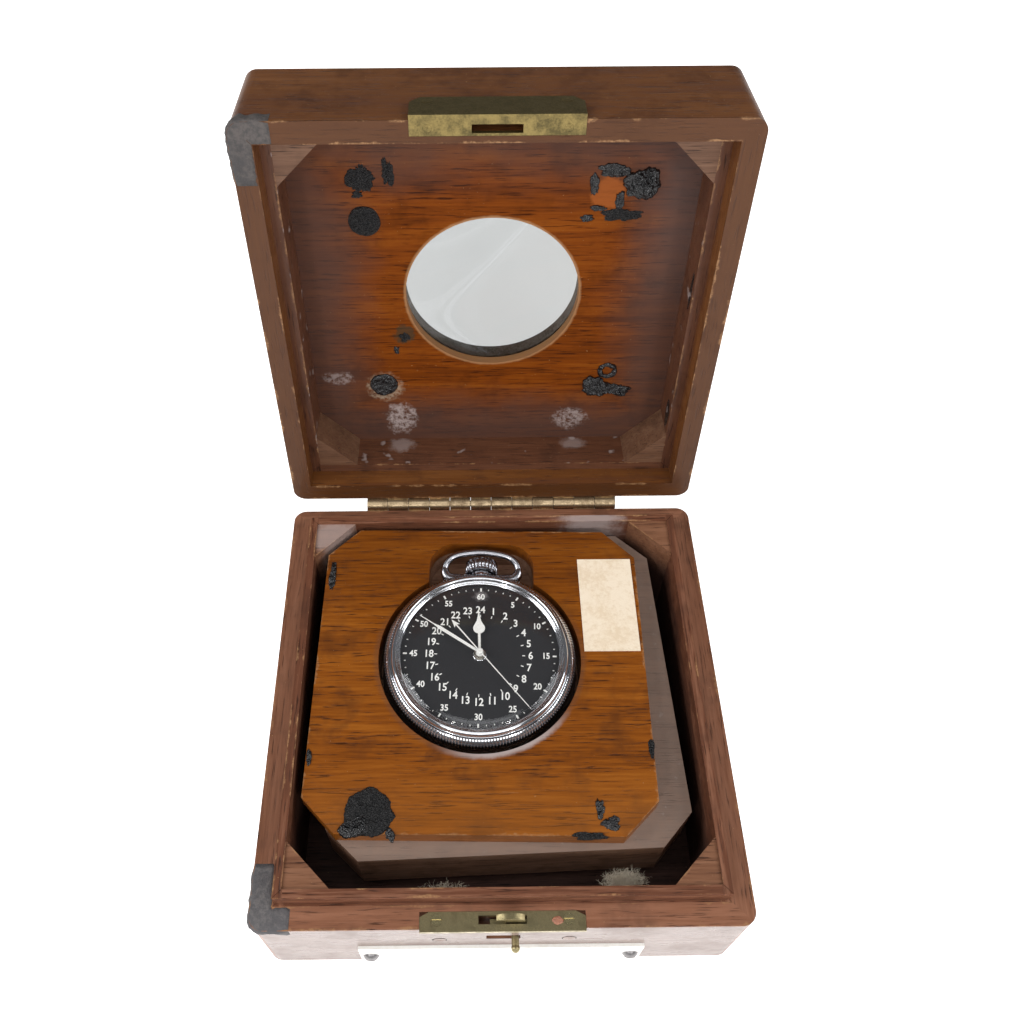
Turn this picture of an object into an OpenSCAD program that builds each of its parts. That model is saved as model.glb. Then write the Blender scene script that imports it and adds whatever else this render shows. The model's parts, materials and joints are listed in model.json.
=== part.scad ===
// A 24-hour navigation watch lying in a wooden holder, inside a hinged wooden box with a window in its lid.
// Origin: middle of the base's underside. +X right, +Y towards the hinge, +Z up. Millimetres.

/* [Box] */
// Outside width of the box, left to right
box_w = 117.5; // [112:0.5:150]
// Outside depth of the box, front to hinge
box_d = 117.5; // [112:0.5:150]
// Height of the base
base_h = 31.8; // [26:0.2:45]
// Height of the lid
lid_h = 26.8; // [24:0.2:40]
// Thickness of the walls
wall_t = 5.3; // [4.8:0.1:8]
// Radius of the upright outer edges
edge_r = 3.5; // [1:0.5:5]
// Thickness of the floor
floor_t = 5; // [3:0.5:8]
// How far the lid leans open
open_angle = 97.6; // [60:0.1:110]

/* [Liner] */
// Thickness of the liner strips
liner_t = 2.6; // [1.5:0.1:4]
// Height of the dust lip above the rim of the base
lip_h = 5; // [3:0.5:6]
// Distance from the lid's rim to its liner
lid_liner_setback = 6.4; // [6.2:0.1:8]
// Length of the two short sides of a corner block
block_leg = 11; // [6:0.5:11]

/* [Lid top and window] */
// Thickness of the outer lid board
lid_board_t = 6.4; // [4.6:0.2:8]
// Thickness of the panel under the lid board
lid_panel_t = 2.6; // [2:0.2:6]
// Radius of the window opening
window_r = 23.2; // [15:0.2:30]
// Distance of the window's middle in front of the box's middle
window_front = 1.5; // [0:0.5:6]
// Width of the ledge that the glass rests on
glass_ledge = 1.6; // [1:0.1:3]
// Thickness of the glass
glass_t = 1.6; // [1:0.1:2.4]
// Height of the glass's dome
glass_rise = 1.6; // [0.8:0.1:2]

/* [Hinge] */
// Length of the hinge
hinge_w = 74.4; // [50:0.4:90]
// Number of knuckles, both leaves together
knuckles = 12; // [6:2:16]
// Outer radius of the knuckles
knuckle_r = 2.2; // [1.8:0.1:3]
// Radius of the hinge pin
pin_r = 0.9; // [0.6:0.1:1.2]
// Height of each leaf
leaf_h = 13; // [9:0.5:16]
// Thickness of each leaf
leaf_t = 1.2; // [0.8:0.1:1.4]

/* [Catch] */
// Length of both catch plates
catch_w = 38.4; // [32:0.4:50]
// Thickness of both catch plates
catch_t = 1.2; // [0.8:0.1:1.5]
// How far the base plate reaches over the rim
catch_reach = 3.8; // [3.6:0.1:4.2]
// Height of the lid plate's leg on the lid's front
catch_leg = 8.7; // [7:0.1:12]
// Length of the slot in both plates
catch_slot_w = 11.2; // [9:0.2:14]

/* [Name plate] */
// Width of the name plate
name_w = 69.5; // [50:0.5:80]
// Height of the name plate
name_h = 14; // [8:0.5:14]
// Thickness of the name plate
name_t = 0.8; // [0.5:0.1:1.5]

/* [Holder] */
// Side of the holder's top board
top_side = 87.5; // [80:0.5:87.5]
// Thickness of the holder's top board
top_t = 5; // [4:0.5:7]
// Length cut off each corner of the top board
top_cut = 8.7; // [5:0.1:12]
// Height of the top board above the rim of the base
top_rise = 3; // [1:0.5:4]
// Side of the board under it
under_side = 90.5; // [84:0.5:90.5]
// Thickness of the board under it
under_t = 17; // [12:0.5:18]
// Length cut off each corner of the under board
under_cut = 8.2; // [5:0.1:12]
// Radius of the sponge pads under the holder
pad_r = 8; // [4:0.5:12]
// Length of the paper label beside the watch
label_d = 29; // [15:0.5:32]

/* [Watch] */
// Radius of the bezel
watch_r = 25.4; // [24:0.1:26]
// Radius of the opening in the bezel
dial_view_r = 21.2; // [20:0.1:21.4]
// Thickness of the watch without its crystal's dome
watch_h = 13.4; // [13:0.1:14]
// Thickness of the sheet of the case
case_t = 0.9; // [0.6:0.1:1]
// Radius of the crown
crown_r = 4.3; // [3.5:0.1:4.5]
// Length of the crown
crown_l = 5.2; // [4:0.1:5.5]
// Inner half width of the bow
bow_in = 9.3; // [8:0.1:9.6]
// Thickness of the bow's wire
bow_t = 2.4; // [1.6:0.1:2.6]

/* [Hidden] */
$fn = 96;
eps = 0.01;
big = 400;

// clearances
run_gap = 0.06;      // a pin or an arbor in its hole
fit_gap = 0.05;      // a screw or a glass in its seat
lid_gap = 0.2;       // between the two rims with the lid closed
lip_gap = 0.5;       // between the dust lip and the lid's wall
block_drop = 0.5;    // from the lip's top to the corner blocks
kerf = 0.1;          // saw cut between strips that meet at a corner
move_gap = 0.3;      // between pieces that pass each other

// box
in_w = box_w - 2 * wall_t;
in_d = box_d - 2 * wall_t;
clear_w = in_w - 2 * liner_t;
clear_d = in_d - 2 * liner_t;
front_y = -box_d / 2;
back_y = box_d / 2;
lid_z = base_h + lid_gap;
lid_top_z = lid_z + lid_h;
board_z = lid_top_z - lid_board_t;
panel_z = board_z - lid_panel_t;
glass_z = board_z;   // the glass lies on the panel, whose hole is smaller than the board's
putty_gap = 0.3;     // over the rim of the glass, and under the lid's top
putty_w = 1.2;

// hinge
pin_y = back_y + knuckle_r + 0.2;
knuckle_w = hinge_w / knuckles;
knuckle_gap = 0.15;
leaf_notch = knuckle_r + 0.5;
leaf_screw_r = 1.9;
leaf_screw_l = 5;
leaf_screw_n = 5;
leaf_screw_z = leaf_h - 4;

// catch
slot_d = 2;
nose_t = 1.3;
nose_y = front_y + 1.3;
bolt_z = base_h - 13.5;
bolt_h = 11.2;
bolt_w = 10;
knob_r = 0.9;
knob_l = 3.4;
knob_x = 3.1;
knob_z = base_h - 8.4;
knob_slot_h = 3.4;
bolt_x = knob_x - 6;
nose_h = 3.2;
nose_w = 6.6;
nose_bow_r = 5;
neck_w = 4.4;
slot_gap = 0.5;      // from the nose to the slot's end with the catch open
nose_x = catch_slot_w / 2 - slot_gap - nose_w;
catch_travel = catch_slot_w - 2 * slot_gap - neck_w - 0.2;
lid_reach = catch_reach - 0.2;
catch_screw_r = 1.3;
catch_screw_l = 7;
catch_screw_x = catch_w / 2 - 3.9;
catch_screw_y = front_y + 2;
leg_screw_l = 4;
leg_screw_z = lid_z + catch_leg - 2.6;

// name plate
name_z = 1.4;
name_screw_r = 2;
name_screw_x = name_w / 2 - 2.7;

// holder
top_x = -4.1;
top_y = (clear_d - top_side) / 2 - 1.85;
top_turn = -1.2;
top_z = base_h + top_rise - top_t;
under_x = 1.1;
under_y = (clear_d - under_side) / 2 - 1.95;
under_turn = 2;
under_z = top_z - under_t;
pad_inset = 13;

// watch: its heights are counted from its back
watch_x = -4.3;
watch_turn = -2;
felt_t = 0.8;
crystal_rise = 1.2;
watch_z = top_z + top_t + 3.3 - watch_h;
pocket_r = watch_r + 1.7;
pocket_z = watch_z - felt_t;
bow_pocket_w = 29.5;
bow_pocket_r = 7.5;
back_h = 4.2;
band_h = 5.4;
band_r = watch_r - 0.7;
case_in_r = band_r - 1.6;
bezel_z = back_h + band_h;
stem_z = 6.9;
stem_r = 0.75;
pendant_r = 3.1;
pendant_l = 3.2;
pendant_y = band_r - 1;
crown_y = pendant_y + pendant_l + 0.25;
bow_pivot_y = pendant_y + 2;
bow_pin_r = 0.7;
bow_reach = 10.2;
bow_tilt = 20;
bow_end_r = 3.6;
bow_a = bow_in + bow_t / 2;
bow_b = bow_reach - bow_t / 2;
bow_pocket_y = bow_pivot_y + bow_b * cos(bow_tilt) + bow_t / 2 + 0.4;

pocket_margin = 4.5;  // from the pocket's end to the board's back edge
watch_y = top_y + top_side / 2 - pocket_margin - bow_pocket_y;

// label
label_gap = 0.95;    // from the pocket's rim to the label
label_edge = 0.8;    // from the label to the board's edge
label_t = 0.2;
label_x = watch_x - top_x + pocket_r + label_gap;

// movement, counted from the watch's back
bridge_z = 1.9;
bridge_t = 1.4;
plate_z = 7.3;
plate_t = 2;
plate_r = case_in_r - 0.4;
dial_z = 10.5;
dial_t = 0.4;
dial_r = plate_r - 0.1;
hour_z = dial_z + dial_t + 0.25;
hand_t = 0.2;
hand_step = 0.5;
minute_z = hour_z + hand_step;
second_z = minute_z + hand_step;
second_r = 0.32;
cannon_r = 0.95;
pipe_r = 1.6;
wheel_t = 0.4;
tooth = 0.35;
mesh_gap = 0.12;
pivot_r = 0.3;

// gear train: pitch radii from the distance of two arbors and the ratio of the pair
function driven_r(d, ratio) = d / (1 + ratio);
train_d = 7.65;
third_pinion_r = driven_r(train_d, 7.5);
center_r = train_d - third_pinion_r;
fourth_pinion_r = driven_r(train_d, 8);
third_r = train_d - fourth_pinion_r;
escape_d = 7.6;
escape_pinion_r = driven_r(escape_d, 10);
fourth_r = escape_d - escape_pinion_r;
escape_r = 3;
barrel_d = 9.69;
center_pinion_r = driven_r(barrel_d, 6.5);
barrel_r = barrel_d - center_pinion_r;
drum_r = 7.2;
motion_d = 7.5;
cannon_pinion_r = motion_d / 5;
minute_wheel_r = motion_d - cannon_pinion_r;
minute_pinion_r = driven_r(motion_d, 6);
hour_wheel_r = motion_d - minute_pinion_r;
function polar(d, a) = d * [cos(a), sin(a)];
third_at = polar(train_d, 240);
escape_at = polar(escape_d, 150);
barrel_at = polar(barrel_d, 35);
minute_at = polar(motion_d, 280);
balance_at = polar(14.8, 196);
balance_r = 6;
lever_turn = atan2(balance_at[1] - escape_at[1], balance_at[0] - escape_at[0]);
pallet_at = escape_at + polar(4, lever_turn);
fork_l = norm(balance_at - pallet_at) - 1.2;

// colours
mahogany = "#6b3418";
oak = "#8a4a17";
brass = "#a08a4a";
steel = "#c8c8cc";
sponge = "#1c1c1e";

// ---- helpers -------------------------------------------------------------------------------

// A box with round upright edges.
module rounded_box(w, d, h, r) {
    linear_extrude(h) {
        square([w - 2 * r, d], center = true);
        square([w, d - 2 * r], center = true);
        for (sx = [-1, 1], sy = [-1, 1]) translate([sx * (w / 2 - r), sy * (d / 2 - r)]) circle(r);
    }
}

module plain_box(w, d, h) {
    translate([-w / 2, -d / 2, 0]) cube([w, d, h]);
}

// One mitred wall of the box: quarter 0 is the front, 1 the right, 2 the back and 3 the left.
function wall_outline(q) =
    let (w = box_w / 2 + 1, d = box_d / 2 + 1, t = wall_t + 1)
    q == 0 ? [[-w, -d], [w, -d], [w - t, -d + t], [-w + t, -d + t]] :
    q == 1 ? [[w, -d], [w, d], [w - t, d - t], [w - t, -d + t]] :
    q == 2 ? [[w, d], [-w, d], [-w + t, d - t], [w - t, d - t]] :
    [[-w, d], [-w, -d], [-w + t, -d + t], [-w + t, d - t]];

module wall(q, h) {
    intersection() {
        rounded_box(box_w, box_d, h, edge_r);
        linear_extrude(h) polygon(wall_outline(q));
    }
}

// Saw cuts through the four corners of a ring of strips.
module corner_kerfs(h) {
    for (sx = [-1, 1], sy = [-1, 1])
        translate([sx * clear_w / 2, sy * clear_d / 2, 0])
            rotate([0, 0, sx * sy * 45]) translate([-3 * liner_t, -kerf / 2, -1]) cube([6 * liner_t, kerf, h + 2]);
}

// A right-angled block in each inner corner.
module corner_blocks(z, h) {
    for (sx = [-1, 1], sy = [-1, 1])
        translate([sx * clear_w / 2, sy * clear_d / 2, z])
            linear_extrude(h) polygon([[0, 0], [-sx * block_leg, 0], [0, -sy * block_leg]]);
}

// A square board with its corners cut off.
function cut_square(s, c) =
    let (a = s / 2, b = s / 2 - c)
    [[-b, -a], [b, -a], [a, -b], [a, b], [b, a], [-b, a], [-a, b], [-a, -b]];

// A countersunk screw with its head's top at z = 0, pointing down.
module flat_screw(r, l) {
    difference() {
        union() {
            translate([0, 0, -r / 2]) cylinder(h = r / 2, r1 = r / 2, r2 = r);
            translate([0, 0, -l]) cylinder(h = l - r / 2 + eps, r = r / 2);
        }
        translate([-r - 1, -r / 8, -r / 5]) cube([2 * r + 2, r / 4, r]);
    }
}

// The seat of such a screw.
module flat_seat(r, l) {
    translate([0, 0, -r / 2 - fit_gap]) cylinder(h = r / 2 + fit_gap + eps, r1 = r / 2, r2 = r + fit_gap);
    translate([0, 0, -l - fit_gap]) cylinder(h = l + fit_gap, r = r / 2 + fit_gap);
    cylinder(h = 3 * r, r = r + fit_gap);
}

// A screw with a domed head that stands on z = 0, pointing down.
module round_screw(r, l) {
    difference() {
        union() {
            intersection() {
                translate([0, 0, -r * 0.45]) sphere(r * 1.1);
                cylinder(h = r, r = r);
            }
            translate([0, 0, -l]) cylinder(h = l + eps, r = r / 2);
        }
        translate([-r - 1, -r / 8, r * 0.35]) cube([2 * r + 2, r / 4, r]);
    }
}

// Turns +Z of its children to -Y, as for screws in the front, or to +Y, as for the back.
module on_front(x, y, z) { translate([x, y, z]) rotate([90, 0, 0]) children(); }
module on_back(x, y, z) { translate([x, y, z]) rotate([-90, 0, 0]) children(); }

// Turns the closed lid to where it leans open.
module opened() {
    translate([0, pin_y, base_h]) rotate([-open_angle, 0, 0]) translate([0, -pin_y, -base_h]) children();
}

function leaf_screw_xs() = [for (i = [0 : leaf_screw_n - 1]) (i / (leaf_screw_n - 1) - 0.5) * (hinge_w - 12)];

// ---- base ----------------------------------------------------------------------------------

// The hollows in the front wall: plate seat, room for the bolt, knob slot, screw holes and plug holes.
module catch_hollows() {
    translate([-catch_w / 2 - fit_gap, front_y - 1, base_h - catch_t])
        cube([catch_w + 2 * fit_gap, catch_reach + 1 + fit_gap, catch_t + 1]);
    translate([bolt_x - catch_travel - move_gap, nose_y - move_gap, bolt_z - move_gap])
        cube([bolt_w + catch_travel + 2 * move_gap, nose_t + 2 * move_gap, base_h - bolt_z]);
    translate([knob_x - catch_travel - knob_r - move_gap, front_y - 1, knob_z - knob_slot_h / 2])
        cube([catch_travel + 2 * knob_r + 2 * move_gap, nose_y - front_y + 1, knob_slot_h]);
    for (s = [-1, 1]) translate([s * catch_screw_x, catch_screw_y, base_h]) flat_seat(catch_screw_r, catch_screw_l);
}

module base_front() {
    color(mahogany) difference() {
        wall(0, base_h);
        catch_hollows();
        for (x = [-1, 1] * name_screw_x)
            on_front(x, front_y - name_t, name_z + name_h / 2) translate([0, 0, -name_t - 4 - fit_gap])
                cylinder(h = name_t + 5, r = name_screw_r / 2 + fit_gap);
    }
}

module base_back() {
    color(mahogany) difference() {
        wall(2, base_h);
        for (x = leaf_screw_xs()) on_back(x, back_y + leaf_t, base_h - leaf_screw_z) flat_seat(leaf_screw_r, leaf_screw_l);
    }
}

module base_left() { color(mahogany) wall(3, base_h); }

module base_right() { color(mahogany) wall(1, base_h); }

module base_floor() { color(mahogany) plain_box(in_w, in_d, floor_t); }

module base_liner() {
    h = base_h + lip_h - floor_t;
    color(mahogany) difference() {
        union() {
            translate([0, 0, floor_t]) plain_box(in_w, in_d, base_h - floor_t);
            translate([0, 0, floor_t]) plain_box(in_w - 2 * lip_gap, in_d - 2 * lip_gap, h);
        }
        translate([0, 0, floor_t - 1]) plain_box(clear_w, clear_d, h + 2);
        translate([0, 0, floor_t]) corner_kerfs(h);
    }
}

module base_corner_blocks() {
    color(mahogany) corner_blocks(floor_t, base_h + lip_h - block_drop - floor_t);
}

module floor_pads() {
    color(sponge) for (sx = [-1, 1], sy = [-1, 1])
        translate([under_x + sx * (under_side / 2 - pad_inset), under_y + sy * (under_side / 2 - pad_inset), floor_t])
            cylinder(h = under_z - floor_t, r = pad_r);
}

module name_plate() {
    color("ivory") difference() {
        translate([-name_w / 2, front_y - name_t, name_z]) cube([name_w, name_t, name_h]);
        for (x = [-1, 1] * name_screw_x)
            on_front(x, front_y - name_t, name_z + name_h / 2) translate([0, 0, -name_t - 1])
                cylinder(h = name_t + 2, r = name_screw_r / 2 + fit_gap);
    }
}

module name_plate_screws() {
    color(steel) for (x = [-1, 1] * name_screw_x)
        on_front(x, front_y - name_t, name_z + name_h / 2) round_screw(name_screw_r, name_t + 4);
}

module catch_plate() {
    c = 2.2;
    x = catch_w / 2;
    z = base_h - catch_t;
    color(brass) difference() {
        translate([0, 0, z]) linear_extrude(catch_t) polygon([
            [-x, front_y - 0.6], [x, front_y - 0.6], [x, front_y + catch_reach - c / 2],
            [x - c, front_y + catch_reach], [-x + c, front_y + catch_reach], [-x, front_y + catch_reach - c / 2]
        ]);
        translate([-catch_slot_w / 2, nose_y - move_gap, z - 1]) cube([catch_slot_w, nose_t + 2 * move_gap, 4]);
        for (s = [-1, 1]) translate([s * catch_screw_x, catch_screw_y, base_h]) flat_seat(catch_screw_r, catch_screw_l);
    }
}

module catch_screws() {
    color(brass) for (s = [-1, 1])
        translate([s * catch_screw_x, catch_screw_y, base_h]) flat_screw(catch_screw_r, catch_screw_l);
}

// The sliding bolt: a plate in the wall, a bowed nose that comes out of the slot, and the thumb knob.
module catch_bolt() {
    color(brass) {
        translate([bolt_x, nose_y, bolt_z]) cube([bolt_w, nose_t, bolt_h]);
        translate([nose_x + nose_w - neck_w, nose_y, bolt_z + bolt_h - eps])
            cube([neck_w, nose_t, base_h - bolt_z - bolt_h + 2]);
        intersection() {
            translate([nose_x, nose_y, base_h + lid_gap + catch_t + 0.2]) cube([nose_w, nose_t, nose_h]);
            translate([nose_x + nose_w / 2, nose_y - 1, base_h + nose_h - nose_bow_r])
                rotate([-90, 0, 0]) cylinder(h = nose_t + 2, r = nose_bow_r);
        }
        on_front(knob_x, nose_y + eps, knob_z) cylinder(h = nose_y - front_y + knob_l - knob_r, r = knob_r);
        translate([knob_x, front_y - knob_l + knob_r, knob_z]) sphere(knob_r * 1.15);
    }
}

// ---- hinge ---------------------------------------------------------------------------------

// The knuckles of one leaf: which = 0 belongs to the base, 1 to the lid.
module leaf_knuckles(which) {
    for (i = [which : 2 : knuckles - 1])
        translate([-hinge_w / 2 + i * knuckle_w + knuckle_gap / 2, pin_y, base_h])
            rotate([0, 90, 0]) cylinder(h = knuckle_w - knuckle_gap, r = knuckle_r);
}

// The flat of one leaf, notched around the other leaf's knuckles; up = 1 for the lid, -1 for the base.
module leaf_flat(which, up) {
    z = up > 0 ? base_h : base_h - leaf_h;
    notch_z = up > 0 ? base_h - 1 : base_h - leaf_notch;
    difference() {
        translate([-hinge_w / 2, back_y, z]) cube([hinge_w, leaf_t, leaf_h]);
        for (i = [1 - which : 2 : knuckles - 1])
            translate([-hinge_w / 2 + i * knuckle_w - knuckle_gap / 2, back_y - 1, notch_z])
                cube([knuckle_w + knuckle_gap, leaf_t + 2, leaf_notch + 1]);
    }
}

module hinge_leaf(which, up) {
    color(brass) difference() {
        union() {
            leaf_flat(which, up);
            leaf_knuckles(which);
        }
        translate([-hinge_w / 2 - 1, pin_y, base_h]) rotate([0, 90, 0]) cylinder(h = hinge_w + 2, r = pin_r + run_gap);
        for (x = leaf_screw_xs())
            on_back(x, back_y + leaf_t, base_h + up * leaf_screw_z) flat_seat(leaf_screw_r, leaf_screw_l);
    }
}

module hinge_base_leaf() { hinge_leaf(0, -1); }

module hinge_lid_leaf() { opened() hinge_leaf(1, 1); }

module hinge_pin() {
    color(brass) translate([-hinge_w / 2, pin_y, base_h]) rotate([0, 90, 0]) cylinder(h = hinge_w, r = pin_r);
}

module hinge_base_screws() {
    color(brass) for (x = leaf_screw_xs())
        on_back(x, back_y + leaf_t, base_h - leaf_screw_z) flat_screw(leaf_screw_r, leaf_screw_l);
}

module hinge_lid_screws() {
    color(brass) opened() for (x = leaf_screw_xs())
        on_back(x, back_y + leaf_t, base_h + leaf_screw_z) flat_screw(leaf_screw_r, leaf_screw_l);
}

// ---- lid -----------------------------------------------------------------------------------

// The hollows in the lid's front wall: seat of the plate's rim leg, room for the bolt's nose, screw holes.
module lid_catch_hollows() {
    translate([-catch_w / 2 - fit_gap, front_y - 1, lid_z - 1])
        cube([catch_w + 2 * fit_gap, 1 + lid_reach + fit_gap, 1 + catch_t]);
    translate([-catch_slot_w / 2 - catch_travel, front_y + 1, lid_z])
        cube([catch_slot_w + catch_travel, slot_d, catch_t + nose_h]);
    for (s = [-1, 1]) {
        on_front(s * catch_screw_x, front_y - catch_t, leg_screw_z) flat_seat(catch_screw_r, leg_screw_l);
    }
}

module lid_front() {
    color(mahogany) opened() difference() {
        translate([0, 0, lid_z]) wall(0, lid_h);
        lid_catch_hollows();
    }
}

module lid_back() {
    color(mahogany) opened() difference() {
        translate([0, 0, lid_z]) wall(2, lid_h);
        for (x = leaf_screw_xs()) on_back(x, back_y + leaf_t, base_h + leaf_screw_z) flat_seat(leaf_screw_r, leaf_screw_l);
    }
}

module lid_left() { color(mahogany) opened() translate([0, 0, lid_z]) wall(3, lid_h); }

module lid_right() { color(mahogany) opened() translate([0, 0, lid_z]) wall(1, lid_h); }

module lid_board() {
    color(mahogany) opened() difference() {
        translate([0, 0, board_z]) plain_box(in_w, in_d, lid_board_t);
        translate([0, -window_front, board_z - 1])
            cylinder(h = lid_board_t + 2, r = window_r + glass_ledge + fit_gap);
    }
}

module lid_panel() {
    color(mahogany) opened() difference() {
        translate([0, 0, panel_z]) plain_box(in_w, in_d, lid_panel_t);
        translate([0, -window_front, panel_z - 1]) cylinder(h = lid_panel_t + 2, r = window_r);
    }
}

module lid_liner() {
    z = lid_z + lid_liner_setback;
    h = panel_z - z;
    color(mahogany) opened() difference() {
        translate([0, 0, z]) plain_box(in_w, in_d, h);
        translate([0, 0, z - 1]) plain_box(clear_w, clear_d, h + 2);
        translate([0, 0, z]) corner_kerfs(h);
    }
}

module lid_corner_blocks() {
    z = lid_z + lid_liner_setback;
    color(mahogany) opened() corner_blocks(z, panel_z - z);
}

// A shallow dome with a flat rim, like a large watch glass.
module window_glass() {
    r = window_r + glass_ledge;
    dome_r = (r * r + glass_rise * glass_rise) / (2 * glass_rise);
    color("lightcyan", 0.35) opened() translate([0, -window_front, glass_z]) intersection() {
        cylinder(h = glass_t + glass_rise, r = r);
        translate([0, 0, glass_t + glass_rise - dome_r]) difference() {
            sphere(dome_r, $fn = 192);
            translate([0, 0, -glass_t]) sphere(dome_r, $fn = 192);
        }
    }
}

module window_putty() {
    r = window_r + glass_ledge;
    z = glass_z + glass_t + putty_gap;
    h = lid_top_z - putty_gap - z;
    color("dimgray") opened() translate([0, -window_front, z]) difference() {
        cylinder(h = h, r = r);
        translate([0, 0, -1]) cylinder(h = h + 2, r = r - putty_w);
    }
}

module lid_catch_plate() {
    x = catch_w / 2;
    c = 2.4;
    color(brass) opened() difference() {
        union() {
            translate([-x, front_y - catch_t, lid_z]) cube([2 * x, catch_t + lid_reach, catch_t]);
            on_front(0, front_y, lid_z) linear_extrude(catch_t) polygon([
                [-x, 0], [x, 0], [x, catch_leg - c], [x - c, catch_leg], [-x + c, catch_leg], [-x, catch_leg - c]
            ]);
        }
        translate([-catch_slot_w / 2, front_y + 1, lid_z - 1]) cube([catch_slot_w, slot_d, catch_t + 2]);
        for (s = [-1, 1])
            on_front(s * catch_screw_x, front_y - catch_t, leg_screw_z) flat_seat(catch_screw_r, leg_screw_l);
    }
}

module lid_catch_screws() {
    color(brass) opened() for (s = [-1, 1])
        on_front(s * catch_screw_x, front_y - catch_t, leg_screw_z) flat_screw(catch_screw_r, leg_screw_l);
}

// What is left of the perished sponge pads on the lid's panel: place, radius and height.
lid_rests = [
    [[-31.5, -36, 0], 4.6, 0.9], [[-32.6, -24, 0], 4, 1.1], [[-31.1, 29.5, 0], 4, 1.4],
    [[33, 28.5, 0], 4.6, 1.3], [[33.2, -30.8, 0], 6.8, 1.5]
];

module lid_pad_rests() {
    color(sponge) opened() for (p = lid_rests)
        translate(p[0] + [0, 0, panel_z - p[2]]) cylinder(h = p[2], r = p[1]);
}

// ---- holder --------------------------------------------------------------------------------

// The space for the watch and its bow, cut from above down to the felt.
module watch_pocket() {
    translate([watch_x, watch_y, pocket_z]) rotate([0, 0, watch_turn]) {
        cylinder(h = big, r = pocket_r);
        linear_extrude(big) {
            translate([-bow_pocket_w / 2, 0]) square([bow_pocket_w, bow_pocket_y - bow_pocket_r]);
            translate([-bow_pocket_w / 2 + bow_pocket_r, 0]) square([bow_pocket_w - 2 * bow_pocket_r, bow_pocket_y]);
            for (s = [-1, 1]) translate([s * (bow_pocket_w / 2 - bow_pocket_r), bow_pocket_y - bow_pocket_r])
                circle(bow_pocket_r);
        }
    }
}

module holder_top() {
    color(oak) difference() {
        translate([top_x, top_y, top_z]) rotate([0, 0, top_turn])
            linear_extrude(top_t) polygon(cut_square(top_side, top_cut));
        watch_pocket();
    }
}

module holder_under() {
    color("#6d4a30") difference() {
        translate([under_x, under_y, under_z]) rotate([0, 0, under_turn])
            linear_extrude(under_t) polygon(cut_square(under_side, under_cut));
        watch_pocket();
    }
}

module pocket_felt() {
    color("#3a2f28") translate([watch_x, watch_y, pocket_z]) cylinder(h = felt_t, r = pocket_r - 2 * move_gap);
}

// It fills the board from the pocket's rim to the board's edge.
module paper_label() {
    color("#e8d9b8") translate([top_x, top_y, top_z + top_t]) rotate([0, 0, top_turn])
        translate([label_x, 5.2, 0]) rotate([0, 0, 1]) cube([top_side / 2 - label_edge - label_x, label_d, label_t]);
}

// What is left of the sponge pads on the holder: place from the board's middle, radius and height.
board_rests = [[[-29, -38, 0], 5, 1.1], [[29.5, -41, 0], 2.4, 0.7]];

module holder_pad_rests() {
    color(sponge) translate([top_x, top_y, top_z + top_t]) for (p = board_rests)
        translate(p[0]) cylinder(h = p[2], r = p[1]);
}

// ---- watch ---------------------------------------------------------------------------------

module in_watch() { translate([watch_x, watch_y, watch_z]) rotate([0, 0, watch_turn]) children(); }

// The screw back: a shallow dish.
module case_back() {
    r = band_r;
    color(steel) in_watch() rotate_extrude() difference() {
        polygon([[0, 0], [r - 6, 0], [r - 2.6, 0.7], [r - 0.6, 2.2], [r, back_h], [0, back_h]]);
        polygon([
            [0, case_t], [r - 6.2, case_t], [r - 3, case_t + 0.8], [r - 1.7, 2.6], [r - 1.6, back_h + 1], [0, back_h + 1]
        ]);
    }
}

// The middle of the case, with the pendant that the stem comes out of.
module case_band() {
    color(steel) in_watch() difference() {
        union() {
            translate([0, 0, back_h]) cylinder(h = band_h, r = band_r);
            translate([0, pendant_y, stem_z]) rotate([-90, 0, 0]) {
                cylinder(h = pendant_l, r = pendant_r - 0.7);
                translate([0, 0, pendant_l - 1.3]) cylinder(h = 1.3, r = pendant_r);
            }
            translate([-pendant_r - 0.5, bow_pivot_y, stem_z]) rotate([0, 90, 0])
                cylinder(h = 2 * pendant_r + 1, r = 1.1);
        }
        translate([0, 0, back_h - 1]) cylinder(h = band_h + 2, r = case_in_r);
        translate([0, 0, stem_z]) rotate([-90, 0, 0]) cylinder(h = big, r = stem_r + run_gap);
        for (s = [-1, 1]) translate([s * (pendant_r + 0.6), bow_pivot_y, stem_z]) rotate([0, -s * 90, 0])
            cylinder(h = 1.2, r = bow_pin_r + run_gap);
    }
}

// The ring with the coin edge; its inner slope shows around the dial.
module bezel() {
    r = watch_r;
    v = dial_view_r;
    h = watch_h - bezel_z;
    color(steel) in_watch() translate([0, 0, bezel_z]) rotate_extrude() polygon([
        [case_in_r, 0], [r - 0.5, 0], [r, 0.4], [r, 1.9], [r - 0.6, 2.4], [r - 1.3, h - 0.6], [r - 2.2, h],
        [v + 0.9, h], [v + 0.9, h - 1.1], [v, h - 1.3], [v, h - 1.7], [v + 0.9, 1.7], [case_in_r, 1.7]
    ]);
}

// The domed crystal, held in the bezel's inner groove.
module crystal() {
    r = dial_view_r + 0.9 - fit_gap;
    rise = crystal_rise + 0.4;
    dome_r = (r * r + rise * rise) / (2 * rise);
    t = 0.9;
    z = watch_h - 1.1;
    color("lightcyan", 0.35) in_watch() translate([0, 0, z]) intersection() {
        cylinder(h = rise + t, r = r);
        translate([0, 0, rise + t - dome_r]) difference() {
            sphere(dome_r, $fn = 192);
            translate([0, 0, -t]) sphere(dome_r, $fn = 192);
        }
    }
}

module dial() {
    color("#101012") in_watch() translate([0, 0, dial_z]) difference() {
        cylinder(h = dial_t, r = dial_r);
        translate([0, 0, -1]) cylinder(h = dial_t + 2, r = pipe_r + 0.3);
    }
}

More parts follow.
